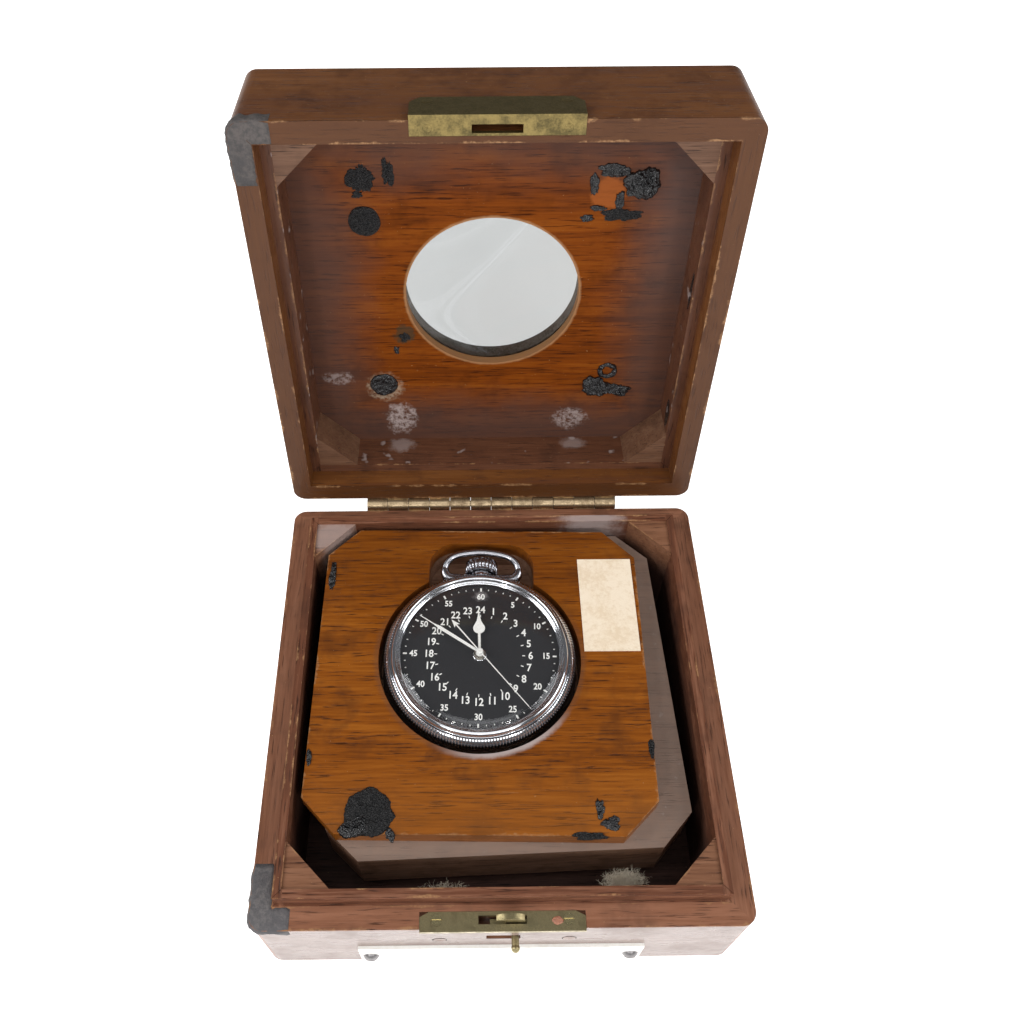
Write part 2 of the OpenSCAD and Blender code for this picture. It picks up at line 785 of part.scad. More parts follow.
// The stem, from the movement to the crown.
module winding_stem() {
    color(steel) in_watch() translate([0, plate_r - 2.5, stem_z]) rotate([-90, 0, 0])
        cylinder(h = crown_y + crown_l - 1 - plate_r + 2.5, r = stem_r);
}

module crown() {
    color(steel) in_watch() translate([0, crown_y, stem_z]) rotate([-90, 0, 0]) difference() {
        intersection() {
            cylinder(h = crown_l, r = crown_r);
            translate([0, 0, crown_l - crown_r * 1.25]) sphere(crown_r * 1.25);
        }
        translate([0, 0, -1]) cylinder(h = crown_l - 0.9 + 1, r = stem_r + run_gap);
    }
}

// The bow: a flattened ring of round wire with a pin at each foot.
module bow() {
    a = bow_a;
    b = bow_b;
    end_r = bow_end_r;
    foot_x = pendant_r + 0.7 + bow_t / 2;
    color(steel) in_watch() translate([0, bow_pivot_y, stem_z]) rotate([bow_tilt, 0, 0]) {
        translate([-(a - end_r), b, 0]) rotate([0, 90, 0]) cylinder(h = 2 * (a - end_r), r = bow_t / 2);
        for (s = [-1, 1]) {
            translate([s * (a - end_r), b - end_r, 0]) rotate([0, 0, s > 0 ? 0 : 90])
                rotate_extrude(angle = 90) translate([end_r, 0]) circle(bow_t / 2);
            translate([s * a, end_r * 0.9, 0]) rotate([-90, 0, 0])
                cylinder(h = b - end_r - end_r * 0.9, r = bow_t / 2);
            translate([s * (a - end_r * 0.9), end_r * 0.9, 0]) rotate([0, 0, s > 0 ? -90 : 180])
                rotate_extrude(angle = 90) translate([end_r * 0.9, 0]) circle(bow_t / 2);
            translate([s * foot_x, 0, 0]) rotate([0, s * 90, 0]) cylinder(h = a - end_r * 0.9 - foot_x, r = bow_t / 2);
            translate([s * (pendant_r - 0.2), 0, 0]) rotate([0, s * 90, 0]) cylinder(h = 1.5, r = bow_pin_r);
            translate([s * foot_x, 0, 0]) sphere(bow_t / 2);
        }
    }
}

// ---- hands ---------------------------------------------------------------------------------

// The hands point where they stand when the seconds show 23; angles go clockwise from 24 at the top.
hour_angle = -2.4;
minute_angle = 303;
second_angle = 140;

module hand_at(angle, z) { in_watch() translate([0, 0, z]) rotate([0, 0, -angle]) children(); }

module hour_hand() {
    color("white") hand_at(hour_angle, hour_z) difference() {
        linear_extrude(hand_t) {
            circle(2);
            polygon([[-0.55, 0], [0.55, 0], [0.35, 8], [-0.35, 8]]);
            translate([0, 9.2]) circle(1.7);
            polygon([[-1.5, 10], [1.5, 10], [0.2, 13], [-0.2, 13]]);
        }
        translate([0, 0, -1]) cylinder(h = hand_t + 2, r = pipe_r - 0.3);
    }
}

module minute_hand() {
    color("white") hand_at(minute_angle, minute_z) difference() {
        linear_extrude(hand_t) {
            circle(1.5);
            polygon([[-0.65, 0], [0.65, 0], [0.9, 9], [0.15, 18.5], [-0.15, 18.5], [-0.9, 9]]);
        }
        translate([0, 0, -1]) cylinder(h = hand_t + 2, r = cannon_r - 0.25);
    }
}

module second_hand() {
    color("white") hand_at(second_angle, second_z) linear_extrude(hand_t) {
        circle(1);
        polygon([[-0.25, -7], [0.25, -7], [0.12, 20.2], [-0.12, 20.2]]);
        polygon([[-0.9, -6.4], [0, -10.3], [0.9, -6.4]]);
    }
}

// ---- movement ------------------------------------------------------------------------------

// A toothed disc; its teeth reach the pitch circle less half the mesh gap.
module toothed(r, h, n = 0) {
    teeth = n > 0 ? n : round(9 * r);
    outer = r - mesh_gap / 2;
    linear_extrude(h) polygon([
        for (i = [0 : 2 * teeth - 1]) polar(i % 2 == 0 ? outer : outer - tooth, 180 * i / teeth)
    ]);
}

// A wheel with four windows, so that it has spokes.
module spoked(r, h) {
    difference() {
        toothed(r, h);
        for (a = [0 : 90 : 270]) rotate([0, 0, a + 45]) translate([r * 0.52, 0, -1]) cylinder(h = h + 2, r = r * 0.25);
    }
}

module pinion(r, h) { cylinder(h = h, r = r - mesh_gap / 2); }

// The holes in the plate and the bridge for the train's pivots.
module pivot_holes() {
    for (p = [third_at, escape_at, pallet_at, barrel_at])
        translate([p[0], p[1], -1]) cylinder(h = 14, r = pivot_r + run_gap);
}

module main_plate() {
    color("#b9b2a0") in_watch() difference() {
        translate([0, 0, plate_z]) cylinder(h = plate_t, r = plate_r);
        pivot_holes();
        translate([balance_at[0], balance_at[1], -1]) cylinder(h = 14, r = pivot_r + run_gap);
        translate([0, 0, plate_z - 1]) cylinder(h = plate_t + 2, r = cannon_r + run_gap);
        translate([0, plate_r - 3, stem_z]) rotate([-90, 0, 0]) cylinder(h = 4, r = stem_r + 0.2);
        translate([minute_at[0], minute_at[1], plate_z - 1]) cylinder(h = plate_t + 2, r = pivot_r + run_gap);
    }
}

// The bridge that carries the other ends of the train's arbors, with two legs to the main plate.
module train_bridge() {
    color("#b9b2a0") in_watch() difference() {
        union() {
            intersection() {
                translate([0, 0, bridge_z]) cylinder(h = bridge_t, r = plate_r - 1);
                translate([pallet_at[0] - 1, -plate_r, 0]) cube([2 * plate_r, 2 * plate_r, plate_z]);
            }
            for (p = [[8, -16], [-4, 18], [18, -6]])
                translate([p[0], p[1], bridge_z]) cylinder(h = plate_z - bridge_z, r = 1.3);
        }
        pivot_holes();
        translate([0, 0, -1]) cylinder(h = 14, r = pivot_r + run_gap);
    }
}

module balance_cock() {
    foot = balance_r + 3.4;
    color("#b9b2a0") in_watch() difference() {
        union() {
            translate([balance_at[0], balance_at[1], bridge_z]) cylinder(h = bridge_t, r = 2.6);
            translate([balance_at[0] - 1.5, balance_at[1] - foot, bridge_z]) cube([3, foot, bridge_t]);
            translate([balance_at[0], balance_at[1] - foot, bridge_z]) cylinder(h = plate_z - bridge_z, r = 2);
        }
        translate([balance_at[0], balance_at[1], -1]) cylinder(h = 14, r = pivot_r + run_gap);
    }
}

// The wheels run at these heights; the escape wheel and the lever share one of their own.
low_wheel_z = 3.6;
mid_wheel_z = 4.7;
high_wheel_z = 5.8;
lever_z = 4.4;
lever_t = 0.25;

module arbor_at(p, z0, z1) { translate([p[0], p[1], z0]) cylinder(h = z1 - z0, r = pivot_r); }

// Runs once an hour; its hollow arbor carries the cannon pinion and the minute hand.
module center_wheel() {
    color(brass) in_watch() difference() {
        union() {
            translate([0, 0, high_wheel_z]) spoked(center_r, wheel_t);
            translate([0, 0, high_wheel_z]) cylinder(h = minute_z - high_wheel_z, r = cannon_r);
            translate([0, 0, high_wheel_z + 0.5]) pinion(center_pinion_r, 0.9);
            translate([0, 0, plate_z + plate_t + 0.1]) pinion(cannon_pinion_r, 0.5);
        }
        translate([0, 0, high_wheel_z - 1]) cylinder(h = 12, r = second_r + run_gap);
    }
}

// Runs once a minute, on the arbor that passes through the centre wheel and carries the second hand.
module fourth_wheel() {
    color(brass) in_watch() {
        translate([0, 0, low_wheel_z]) spoked(fourth_r, wheel_t);
        translate([0, 0, mid_wheel_z - 0.2]) pinion(fourth_pinion_r, 0.8);
        translate([0, 0, bridge_z + 0.1]) cylinder(h = 2, r = pivot_r);
        translate([0, 0, low_wheel_z]) cylinder(h = second_z - low_wheel_z, r = second_r);
    }
}

module third_wheel() {
    color(brass) in_watch() {
        translate([third_at[0], third_at[1], mid_wheel_z]) spoked(third_r, wheel_t);
        translate([third_at[0], third_at[1], mid_wheel_z]) pinion(third_pinion_r, high_wheel_z + wheel_t - mid_wheel_z);
        arbor_at(third_at, bridge_z + 0.2, plate_z + 1.5);
    }
}

module escape_wheel() {
    color(steel) in_watch() {
        translate([escape_at[0], escape_at[1], lever_z]) toothed(escape_r, lever_t, 15);
        translate([escape_at[0], escape_at[1], low_wheel_z]) pinion(escape_pinion_r, lever_z - low_wheel_z + eps);
        arbor_at(escape_at, bridge_z + 0.2, plate_z + 1.5);
    }
}

// The lever: two arms astride the escape wheel, and a fork towards the balance.
module pallet_fork() {
    color(steel) in_watch() {
        translate([pallet_at[0], pallet_at[1], lever_z]) rotate([0, 0, lever_turn]) linear_extrude(lever_t) {
            circle(0.6);
            square([0.5, 3], center = true);
            translate([0, -0.2]) square([fork_l, 0.4]);
        }
        arbor_at(pallet_at, bridge_z + 0.2, plate_z + 1.5);
    }
}

module balance_wheel() {
    z = low_wheel_z;
    color("gold") in_watch() translate([balance_at[0], balance_at[1], 0]) {
        translate([0, 0, z]) difference() {
            cylinder(h = 0.7, r = balance_r);
            translate([0, 0, -1]) cylinder(h = 3, r = balance_r - 0.6);
        }
        translate([-balance_r + 0.3, -0.4, z]) cube([2 * balance_r - 0.6, 0.8, 0.4]);
        translate([0, 0, bridge_z + 0.2]) cylinder(h = plate_z + 1.5 - bridge_z - 0.2, r = pivot_r);
        translate([0, 0, z + 1.2]) cylinder(h = 0.3, r = 1.4);
        for (a = [20 : 40 : 340]) rotate([0, 0, a]) translate([balance_r - eps, 0, z + 0.35]) rotate([0, 90, 0])
            cylinder(h = 0.5, r = 0.3);
    }
}

// A flat coil, drawn as rings that a slim bar joins.
module hairspring() {
    color("steelblue") in_watch() translate([balance_at[0], balance_at[1], low_wheel_z + 2.1]) {
        for (r = [1.2 : 0.7 : 4]) difference() {
            cylinder(h = 0.25, r = r);
            translate([0, 0, -1]) cylinder(h = 3, r = r - 0.12);
        }
        translate([0.9, -0.06, 0]) cube([3.1, 0.12, 0.25]);
    }
}

// The toothed disc that drives the centre pinion, and the drum under the centre wheel.
module mainspring_barrel() {
    drum_z = low_wheel_z + wheel_t + 0.1;
    color(brass) in_watch() translate([barrel_at[0], barrel_at[1], 0]) {
        translate([0, 0, high_wheel_z + 0.5]) toothed(barrel_r, 0.7);
        translate([0, 0, drum_z]) cylinder(h = high_wheel_z - 0.1 - drum_z, r = drum_r);
        translate([0, 0, drum_z]) cylinder(h = high_wheel_z + 1 - drum_z, r = barrel_d - center_r - 0.3);
        arbor_at([0, 0], bridge_z + 0.2, plate_z + 1.5);
    }
}

module minute_wheel() {
    z = plate_z + plate_t + 0.15;
    color(brass) in_watch() {
        translate([minute_at[0], minute_at[1], z]) toothed(minute_wheel_r, 0.35);
        translate([minute_at[0], minute_at[1], z]) pinion(minute_pinion_r, 0.95);
        arbor_at(minute_at, plate_z + 0.5, z + 0.95);
    }
}

// Runs once a day; its pipe carries the hour hand.
module hour_wheel() {
    z = plate_z + plate_t + 0.75;
    color(brass) in_watch() difference() {
        union() {
            translate([0, 0, z]) toothed(hour_wheel_r, 0.35);
            translate([0, 0, z]) cylinder(h = hour_z - z, r = pipe_r);
        }
        translate([0, 0, z - 1]) cylinder(h = 6, r = cannon_r + run_gap);
    }
}

// ---- nodes ---------------------------------------------------------------------------------

base_front();
base_back();
base_left();
base_right();
base_floor();
base_liner();
base_corner_blocks();
floor_pads();
name_plate();
name_plate_screws();
catch_plate();
catch_screws();
catch_bolt();
hinge_base_leaf();
hinge_base_screws();
hinge_pin();
lid_front();
lid_back();
lid_left();
lid_right();
lid_board();
lid_panel();
lid_liner();
lid_corner_blocks();
window_glass();
window_putty();
lid_catch_plate();
lid_catch_screws();
hinge_lid_leaf();
hinge_lid_screws();
lid_pad_rests();
holder_top();
holder_under();
pocket_felt();
paper_label();
holder_pad_rests();
case_back();
case_band();
bezel();
crystal();
dial();
main_plate();
train_bridge();
balance_cock();
winding_stem();
crown();
bow();
hour_hand();
hour_wheel();
minute_hand();
center_wheel();
second_hand();
fourth_wheel();
minute_wheel();
third_wheel();
escape_wheel();
pallet_fork();
balance_wheel();
hairspring();
mainspring_barrel();
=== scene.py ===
# %% [markdown]
# # A navigation watch in its wooden box
# The object is a small mahogany box with its lid leaning open. A wooden holder lies loose inside it, and a
# 24-hour pocket watch rests in the holder. The engineering model already gives every solid its shape and place,
# so this lesson is about looks: finishes for each solid, and the small things a solid model leaves out.

# %% Load the solid model
import bpy
import bmesh
import json
from math import atan2, cos, hypot, pi, radians, sin
from mathutils import Matrix, Vector, noise


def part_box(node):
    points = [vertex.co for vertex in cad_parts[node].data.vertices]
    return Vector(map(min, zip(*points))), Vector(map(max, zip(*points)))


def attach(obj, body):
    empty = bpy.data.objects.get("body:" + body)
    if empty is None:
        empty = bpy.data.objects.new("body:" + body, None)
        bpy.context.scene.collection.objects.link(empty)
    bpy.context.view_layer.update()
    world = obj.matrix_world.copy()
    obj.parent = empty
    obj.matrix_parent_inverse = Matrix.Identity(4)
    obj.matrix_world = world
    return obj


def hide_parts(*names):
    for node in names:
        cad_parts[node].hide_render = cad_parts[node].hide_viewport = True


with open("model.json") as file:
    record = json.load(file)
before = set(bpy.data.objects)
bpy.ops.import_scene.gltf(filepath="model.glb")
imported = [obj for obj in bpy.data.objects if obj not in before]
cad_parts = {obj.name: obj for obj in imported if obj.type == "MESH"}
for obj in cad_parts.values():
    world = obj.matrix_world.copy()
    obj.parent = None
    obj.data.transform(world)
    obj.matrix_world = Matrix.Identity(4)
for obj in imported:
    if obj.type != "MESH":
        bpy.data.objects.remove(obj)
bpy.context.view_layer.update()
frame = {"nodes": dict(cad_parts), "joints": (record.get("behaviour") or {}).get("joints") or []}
nodes = frame["nodes"]
MM = 0.001

# %% [markdown]
# Every place below is read from the solids. The lid is stored open, so its pieces are easier to think of with the
# lid shut: `lid_shut` turns a point of the open lid back onto the box, and `lid_open` does the opposite.

# %% Measure the box, the lid and the watch
base_low, base_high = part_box("base_front")
half = -base_low.y / MM
rim_z = base_high.z / MM
hinge = next(j for j in frame["joints"] if j["name"] == "lid_hinge")
lean = radians(abs(hinge["range_deg"][0]))
pin = Vector(hinge["pos_m"])
lid_open = Matrix.Translation(pin) @ Matrix.Rotation(-lean, 4, "X") @ Matrix.Translation(-pin)
lid_shut = lid_open.inverted()


def middle(node):
    low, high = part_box(node)
    return (low + high) / 2


dial_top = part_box("dial")[1].z
watch_turn = radians(-2)
watch_at = Matrix.Translation((middle("dial").x, middle("dial").y, 0)) @ Matrix.Rotation(watch_turn, 4, "Z")
panel_z = min((lid_shut @ v.co).z for v in nodes["lid_panel"].data.vertices)
board_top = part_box("holder_top")[1].z
print("half width", round(half, 2), "rim", round(rim_z, 2), "panel at", round(panel_z / MM, 2))

# %% [markdown]
# ## Camera
# The camera looks steeply down into the open box. Its place and turn are worked out in degrees from level.

# %% Camera
def aim(pitch, yaw, roll):
    """A turn for a camera that looks down by pitch, to the side by yaw, and leans by roll."""
    ahead = Vector((-sin(yaw) * cos(pitch), cos(yaw) * cos(pitch), -sin(pitch)))
    right = Vector((cos(yaw), sin(yaw), 0))
    above = right.cross(ahead)
    side, top = right * cos(roll) + above * sin(roll), above * cos(roll) - right * sin(roll)
    return Matrix((side, top, -ahead)).transposed().to_4x4()


camera = bpy.data.objects.new("camera", bpy.data.cameras.new("camera"))
bpy.context.scene.collection.objects.link(camera)
camera.matrix_world = Matrix.Translation(Vector((-7.50, -111.24, 273.12)) * MM) @ aim(
    radians(53.549), radians(-0.371), radians(-0.232))
camera.data.lens, camera.data.sensor_width = 34.55, 36
camera.data.shift_x, camera.data.shift_y = 0.0411, -0.0231
camera.data.clip_start = 0.01
bpy.context.scene.camera = camera
print("camera", [round(v, 3) for v in camera.location])

# %% [markdown]
# ## Light
# Four soft boxes stand left, right, in front and above, and two small lamps in front give points of light on tar
# and glass. The floor glows a little, so that it stays white. Chrome shows what surrounds it,
# so the sky is grey rather than white, which leaves the soft boxes as clear bright bands on the watch.

# %% Floor, sky and soft boxes
def soft_box(name, place, size, watts, target=(0, 0, 0.03)):
    lamp = bpy.data.objects.new(name, bpy.data.lights.new(name, "AREA"))
    lamp.data.shape, lamp.data.size, lamp.data.size_y, lamp.data.energy = "RECTANGLE", size[0], size[1], watts
    lamp.location = place
    lamp.rotation_euler = (Vector(target) - Vector(place)).to_track_quat("-Z", "Y").to_euler()
    bpy.context.scene.collection.objects.link(lamp)
    return lamp


soft_box("left_box", (-0.66, -0.06, 0.50), (0.45, 0.50), 3.9)
soft_box("right_box", (0.66, -0.06, 0.50), (0.45, 0.50), 3.0)
soft_box("front_box", (0.0, -0.85, 0.62), (1.4, 0.45), 4.8)
soft_box("left_flash", (-0.34, -0.62, 0.46), (0.07, 0.12), 0.8)
soft_box("right_flash", (0.36, -0.62, 0.46), (0.07, 0.12), 0.8)
soft_box("top_box", (0.0, -0.30, 1.15), (0.9, 0.5), 2.2)
sky = bpy.data.worlds.new("sky")
bpy.context.scene.world = sky
sky.use_nodes = True
sky.node_tree.nodes["Background"].inputs["Color"].default_value = (0.93, 0.95, 1, 1)
sky.node_tree.nodes["Background"].inputs["Strength"].default_value = 0.13
bpy.context.scene.view_settings.view_transform = "Standard"

# %% [markdown]
# ## Writing finishes as expressions
# A finish is a small program of shader nodes. `Wire` stands for one socket and takes `+ - * /` from either side,
# so a pattern reads like a formula. `Finish` owns one material and makes any node from its type, its settings and
# the values of its sockets.

# %% Wire and Finish
class Wire:
    """One output socket of a material's node tree."""

    def __init__(self, finish, socket):
        self.finish, self.socket = finish, socket

    def math(self, operation, *others):
        values = {i: v for i, v in enumerate((self,) + others)}
        return self.finish.node("Math", {"operation": operation}, values)

    def __add__(self, other):
        return self.math("ADD", other)

    def __sub__(self, other):
        return self.math("SUBTRACT", other)

    def __mul__(self, other):
        return self.math("MULTIPLY", other)

    def __truediv__(self, other):
        return self.math("DIVIDE", other)

    def __rsub__(self, other):
        return self.finish.node("Math", {"operation": "SUBTRACT"}, {0: other, 1: self})

    def __rtruediv__(self, other):
        return self.finish.node("Math", {"operation": "DIVIDE"}, {0: other, 1: self})

    __radd__, __rmul__ = __add__, __mul__


class Finish:
    """One material. Constants go straight onto the shader's own sockets."""

    def __init__(self, name, **constants):
        self.material = bpy.data.materials.new(name)
        self.material.use_nodes = True
        self.tree = self.material.node_tree
        self.shader = self.tree.nodes["Principled BSDF"]
        for key, value in constants.items():
            self.shader.inputs[key.replace("_", " ")].default_value = value

    def node(self, kind, settings=None, values=None, out=0):
        made = self.tree.nodes.new("ShaderNode" + kind)
        for key, value in (settings or {}).items():
            if key == "stops":
                ramp = made.color_ramp.elements
                while len(ramp) < len(value):
                    ramp.new(0.5)
                for stop, (at, colour) in zip(ramp, value):
                    stop.position, stop.color = at, (*colour, 1)
            else:
                setattr(made, key, value)
        for key, value in (values or {}).items():
            if isinstance(value, Wire):
                self.tree.links.new(value.socket, made.inputs[key])
            else:
                made.inputs[key].default_value = value
        return Wire(self, made.outputs[out])

    def put(self, **wires):
        for key, wire in wires.items():
            self.tree.links.new(wire.socket, self.shader.inputs[key.replace("_", " ")])
        return self.material

    def place(self, turn=None):
        """Where the point is, in millimetres. turn is a matrix that brings the piece into an easier pose."""
        at = self.node("TexCoord", out="Object")
        if turn is not None:
            at = self.node("Mapping", None, {0: at, "Location": turn.to_translation(), "Rotation": turn.to_euler()})
        return self.node("VectorMath", {"operation": "SCALE"}, {0: at, "Scale": 1 / MM})

    def split(self, vector):
        made = self.tree.nodes.new("ShaderNodeSeparateXYZ")
        self.tree.links.new(vector.socket, made.inputs[0])
        return [Wire(self, made.outputs[i]) for i in range(3)]

    def join(self, x, y, z):
        return self.node("CombineXYZ", None, {0: x, 1: y, 2: z})

    def cloud(self, at, scale, detail=3.0, rough=0.55, twist=0.0):
        return self.node("TexNoise", None, {"Vector": at, "Scale": scale, "Detail": detail, "Roughness": rough,
                                           "Distortion": twist})

    def step(self, value, low, high):
        """0 below low, 1 above high and smooth between them; it falls where low is above high."""
        rise = self.node("MapRange", {"interpolation_type": "SMOOTHSTEP"},
                         {"Value": value, "From Min": min(low, high), "From Max": max(low, high)})
        return rise if low <= high else 1 - rise

    def mix(self, part, first, second):
        one, two = [(*v, 1) if isinstance(v, tuple) else v for v in (first, second)]
        return self.node("Mix", {"data_type": "RGBA"}, {0: part, 6: one, 7: two}, out=2)

    def bump(self, height, strength=0.4, depth=0.0002):
        return self.node("Bump", None, {"Strength": strength, "Distance": depth, "Height": height})

    def patch(self, x, y, at, size, ragged, soft=0.8):
        """1 inside an oval spot with a ragged edge."""
        dx, dy = (x - at[0]) / size[0], (y - at[1]) / size[1]
        far = (dx * dx + dy * dy).math("SQRT")
        return self.step(far + ragged, 1 + soft / 2, 1 - soft / 2)


def wear(solids, material):
    for name in solids.split():
        nodes[name].data.materials.clear()
        nodes[name].data.materials.append(material)
    print(material.name, "on", len(solids.split()), "solids")


floor_mesh = bpy.data.meshes.new("floor")
floor_mesh.from_pydata([(-9, -9, 0), (9, -9, 0), (9, 9, 0), (-9, 9, 0)], [], [(0, 1, 2, 3)])
floor = bpy.data.objects.new("floor", floor_mesh)
floor.location.z = -0.0002
bpy.context.scene.collection.objects.link(floor)
pale = Finish("pale_floor", Base_Color=(0.93, 0.93, 0.93, 1), Roughness=0.75, Emission_Color=(1, 1, 1, 1),
              Emission_Strength=0.92)
floor.data.materials.append(pale.material)

# %% [markdown]
# ## Wood
# Mahogany is a red-brown wood whose long vessels show as short dark pores that follow the grain. The recipe uses
# one stretched set of coordinates: a point is squeezed along the grain, so noise turns into streaks. Broad streaks
# give the figure, fine ones the fibres, and the thinnest are cut off at a threshold to become pores. Years of
# handling rub the varnish off the edges, so each part also gets a mask of the distance to its own edges.

# %% The wood recipe
def grained(f, x, y, z, along):
    """Coordinates squeezed along the grain, in millimetres."""
    squeeze = 0.055
    return f.join(*[v * squeeze if axis == along else v for axis, v in zip("xyz", (x, y, z))])


def wood(name, dark, middling, light, along="x", turn=None, marks=None, gloss=0.36, coat=0.10, spread=0.5,
         liner=False, shine=0.16):
    """marks(f, x, y, z) returns rows of a mask, a colour and added roughness, painted in order."""
    f = Finish(name, Coat_Roughness=0.12, Specular_IOR_Level=shine)
    x, y, z = f.split(f.place(turn))
    g = grained(f, x, y, z, along)
    if liner:  # strips along the sides run the other way
        side = f.step(x.math("ABSOLUTE") - half, -8.2, -7.8)
        g = f.node("Mix", {"data_type": "VECTOR"}, {0: side, 4: g, 5: grained(f, x, y, z, "y")}, out=1)
    figure = f.cloud(g, 0.16, 3.0, 0.6, 0.6)
    fibre = f.cloud(g, 1.3, 4.0, 0.65)
    pores = f.cloud(g, 2.6, 2.0, 0.5)
    tone = figure * (1 - spread) + fibre * spread
    colour = f.node("ValToRGB", {"stops": [(0.30, dark), (0.50, middling), (0.70, light)]}, {0: tone})
    pore = f.step(pores, 0.40, 0.30)
    colour = f.mix(pore * 0.75, colour, tuple(c * 0.30 for c in dark))
    grime = f.cloud(f.join(x, y, z), 0.11, 3.0, 0.6)
    colour = f.mix(f.step(grime, 0.48, 0.75) * 0.45, colour, tuple(c * 0.45 for c in dark))
    rough = gloss + fibre * 0.12 + f.step(grime, 0.45, 0.7) * 0.14
    nicks = f.step(f.cloud(f.join(x, y, z), 1.9, 2.0, 0.7), 0.735, 0.77)
    colour = f.mix(nicks * 0.8, colour, (0.50, 0.30, 0.14))
    height = fibre * 0.5 - pore * 0.9 - nicks
    if marks:
        for mask, paint, matt in marks(f, x, y, z):
            colour = f.mix(mask, colour, paint)
            rough = rough + mask * matt
    f.shader.inputs["Coat Weight"].default_value = coat
    return f.put(Base_Color=colour, Roughness=rough, Normal=f.bump(height, 0.45, 0.00016))


def near_edge(f, a, b, width, ragged):
    """1 close to the line where both distances are zero, with stretches where nothing is rubbed off."""
    far = (a * a + b * b).math("SQRT")
    gaps = f.step(f.cloud(f.place(), 0.085, 3.0, 0.6), 0.60, 0.46)
    specks = f.step(f.cloud(f.place(), 1.1, 3.0, 0.7), 0.40, 0.62)
    return f.step(far + ragged + gaps * width * 0.8, width * 0.72, width * 0.15) * (0.35 + specks * 0.65)


def from_outside(f, x, y):
    """Distance in from the outer faces of the box."""
    return half - x.math("ABSOLUTE").math("MAXIMUM", y.math("ABSOLUTE"))


print("wood recipe ready")

# %% [markdown]
# The walls of the base carry the marks of use: pale edges on the rim, a pale haze on the outer faces where the
# varnish has gone milky, and scuffs. The lid's walls are the same wood with less haze.

# %% Walls
RED, WALL, WORN = (0.085, 0.034, 0.020), (0.205, 0.085, 0.046), (0.310, 0.145, 0.086)
BARE, HAZE, DUSTY = (0.36, 0.195, 0.090), (0.245, 0.190, 0.170), (0.40, 0.33, 0.31)
rim_gap, lid_tall = 0.2, 26.8
wall_t, liner_in = 5.3, 7.9  # from the outer faces in to the wall's inner face and to the liner's
lid_rim = rim_z + rim_gap
lid_top = lid_rim + lid_tall


def rub(f, x, y, z):
    return (f.cloud(f.join(x, y, z), 0.35, 4.0, 0.7) - 0.5) * 5.5


def base_marks(hazy):
    def marks(f, x, y, z):
        r = rub(f, x, y, z)
        inward = from_outside(f, x, y)
        low = f.cloud(f.join(x, y, z), 0.09, 2.0, 0.5)
        face = f.step(inward, 0.25, 0.05) * f.step(z, rim_z - 0.1, rim_z - 1.2)
        return [
            (f.step(inward, 0.6, 3.2) * 0.25, WORN, 0.0),
            (face * (hazy + low * 0.12), HAZE, -0.05),
            (near_edge(f, inward, z - rim_z, 1.0, r * 0.45) * 0.7, BARE, 0.1),
            (near_edge(f, inward - wall_t, z - rim_z, 0.8, r * 0.4) * 0.6, BARE, 0.1),
            (near_edge(f, inward, z, 1.1, r * 0.5) * 0.6, BARE, 0.1),
        ]
    return marks


def lid_marks(f, x, y, z):
    r = rub(f, x, y, z)
    inward = from_outside(f, x, y)
    return [
        (f.step(z, lid_rim + 0.6, lid_rim + 0.1) * 0.75, (0.062, 0.022, 0.007), 0.0),
        (near_edge(f, inward, z - lid_rim, 1.1, r * 0.5) * 0.8, BARE, 0.1),
        (near_edge(f, inward - wall_t, z - lid_rim, 0.8, r * 0.4) * 0.7, BARE, 0.1),
        (near_edge(f, inward, z - lid_top, 1.0, r * 0.5) * 0.5, BARE, 0.1),
    ]


front_wood = wood("mahogany_front", RED, WALL, WORN, "x", marks=base_marks(0.78), gloss=0.26)
wear("base_front", front_wood)
wear("base_back", wood("mahogany_back", RED, WALL, WORN, "x", marks=base_marks(0.10)))
wear("base_left base_right", wood("mahogany_side", RED, WALL, WORN, "y", marks=base_marks(0.16)))
LID_WALL = (0.128, 0.045, 0.012)
wear("lid_front lid_back", wood("lid_mahogany_long", RED, LID_WALL, (0.185, 0.072, 0.022), "x", lid_shut, lid_marks))
wear("lid_left lid_right", wood("lid_mahogany_side", RED, LID_WALL, (0.185, 0.072, 0.022), "y", lid_shut, lid_marks))

# %% [markdown]
# The liner stands up as a lip that keeps dust out. Its top is rubbed pale along both edges. Inside, below the
# holder, its colour is painted darker with depth, to nearly black, as painted shade; the corner blocks get the same.

# %% Liner, corner blocks and floor
def liner_marks(f, x, y, z):
    r = rub(f, x, y, z)
    inward = from_outside(f, x, y)
    top = rim_z + 5
    haze = f.patch(x, y, (29, half - 6.9), (9, 1.6), r * 0.18)
    return [
        # painted shade: the inner face darkens to nearly black going down below the rim, where the holder and walls
        # shade it
        (f.step(inward, 7.6, 7.85) * f.step(z, rim_z + 4, rim_z - 12) * 0.8, (0.030, 0.018, 0.018), 0.2),
        (near_edge(f, inward - 5.8, z - top, 0.75, r * 0.35) * 0.9, BARE, 0.1),
        (near_edge(f, inward - liner_in, z - top, 0.6, r * 0.35) * 0.85, BARE, 0.1),
        (haze * 0.7, DUSTY, 0.3),
    ]


def block_marks(f, x, y, z):
    r = rub(f, x, y, z)
    slope = (half - liner_in) * 2 - 11 - x.math("ABSOLUTE") - y.math("ABSOLUTE")
    back_left = f.patch(x, y, (-46, 47), (8, 5), r * 0.2)
    return [
        # painted shade: the blocks darken to nearly black going down below the rim
        (f.step(z, rim_z + 3, rim_z - 10) * 0.85, (0.022, 0.013, 0.013), 0.2),
        (near_edge(f, slope, z - rim_z - 4.5, 0.7, r * 0.3) * 0.8, BARE, 0.1),
        (back_left * 0.55, DUSTY, 0.3),
    ]


SMEAR = (0.012, 0.011, 0.011)


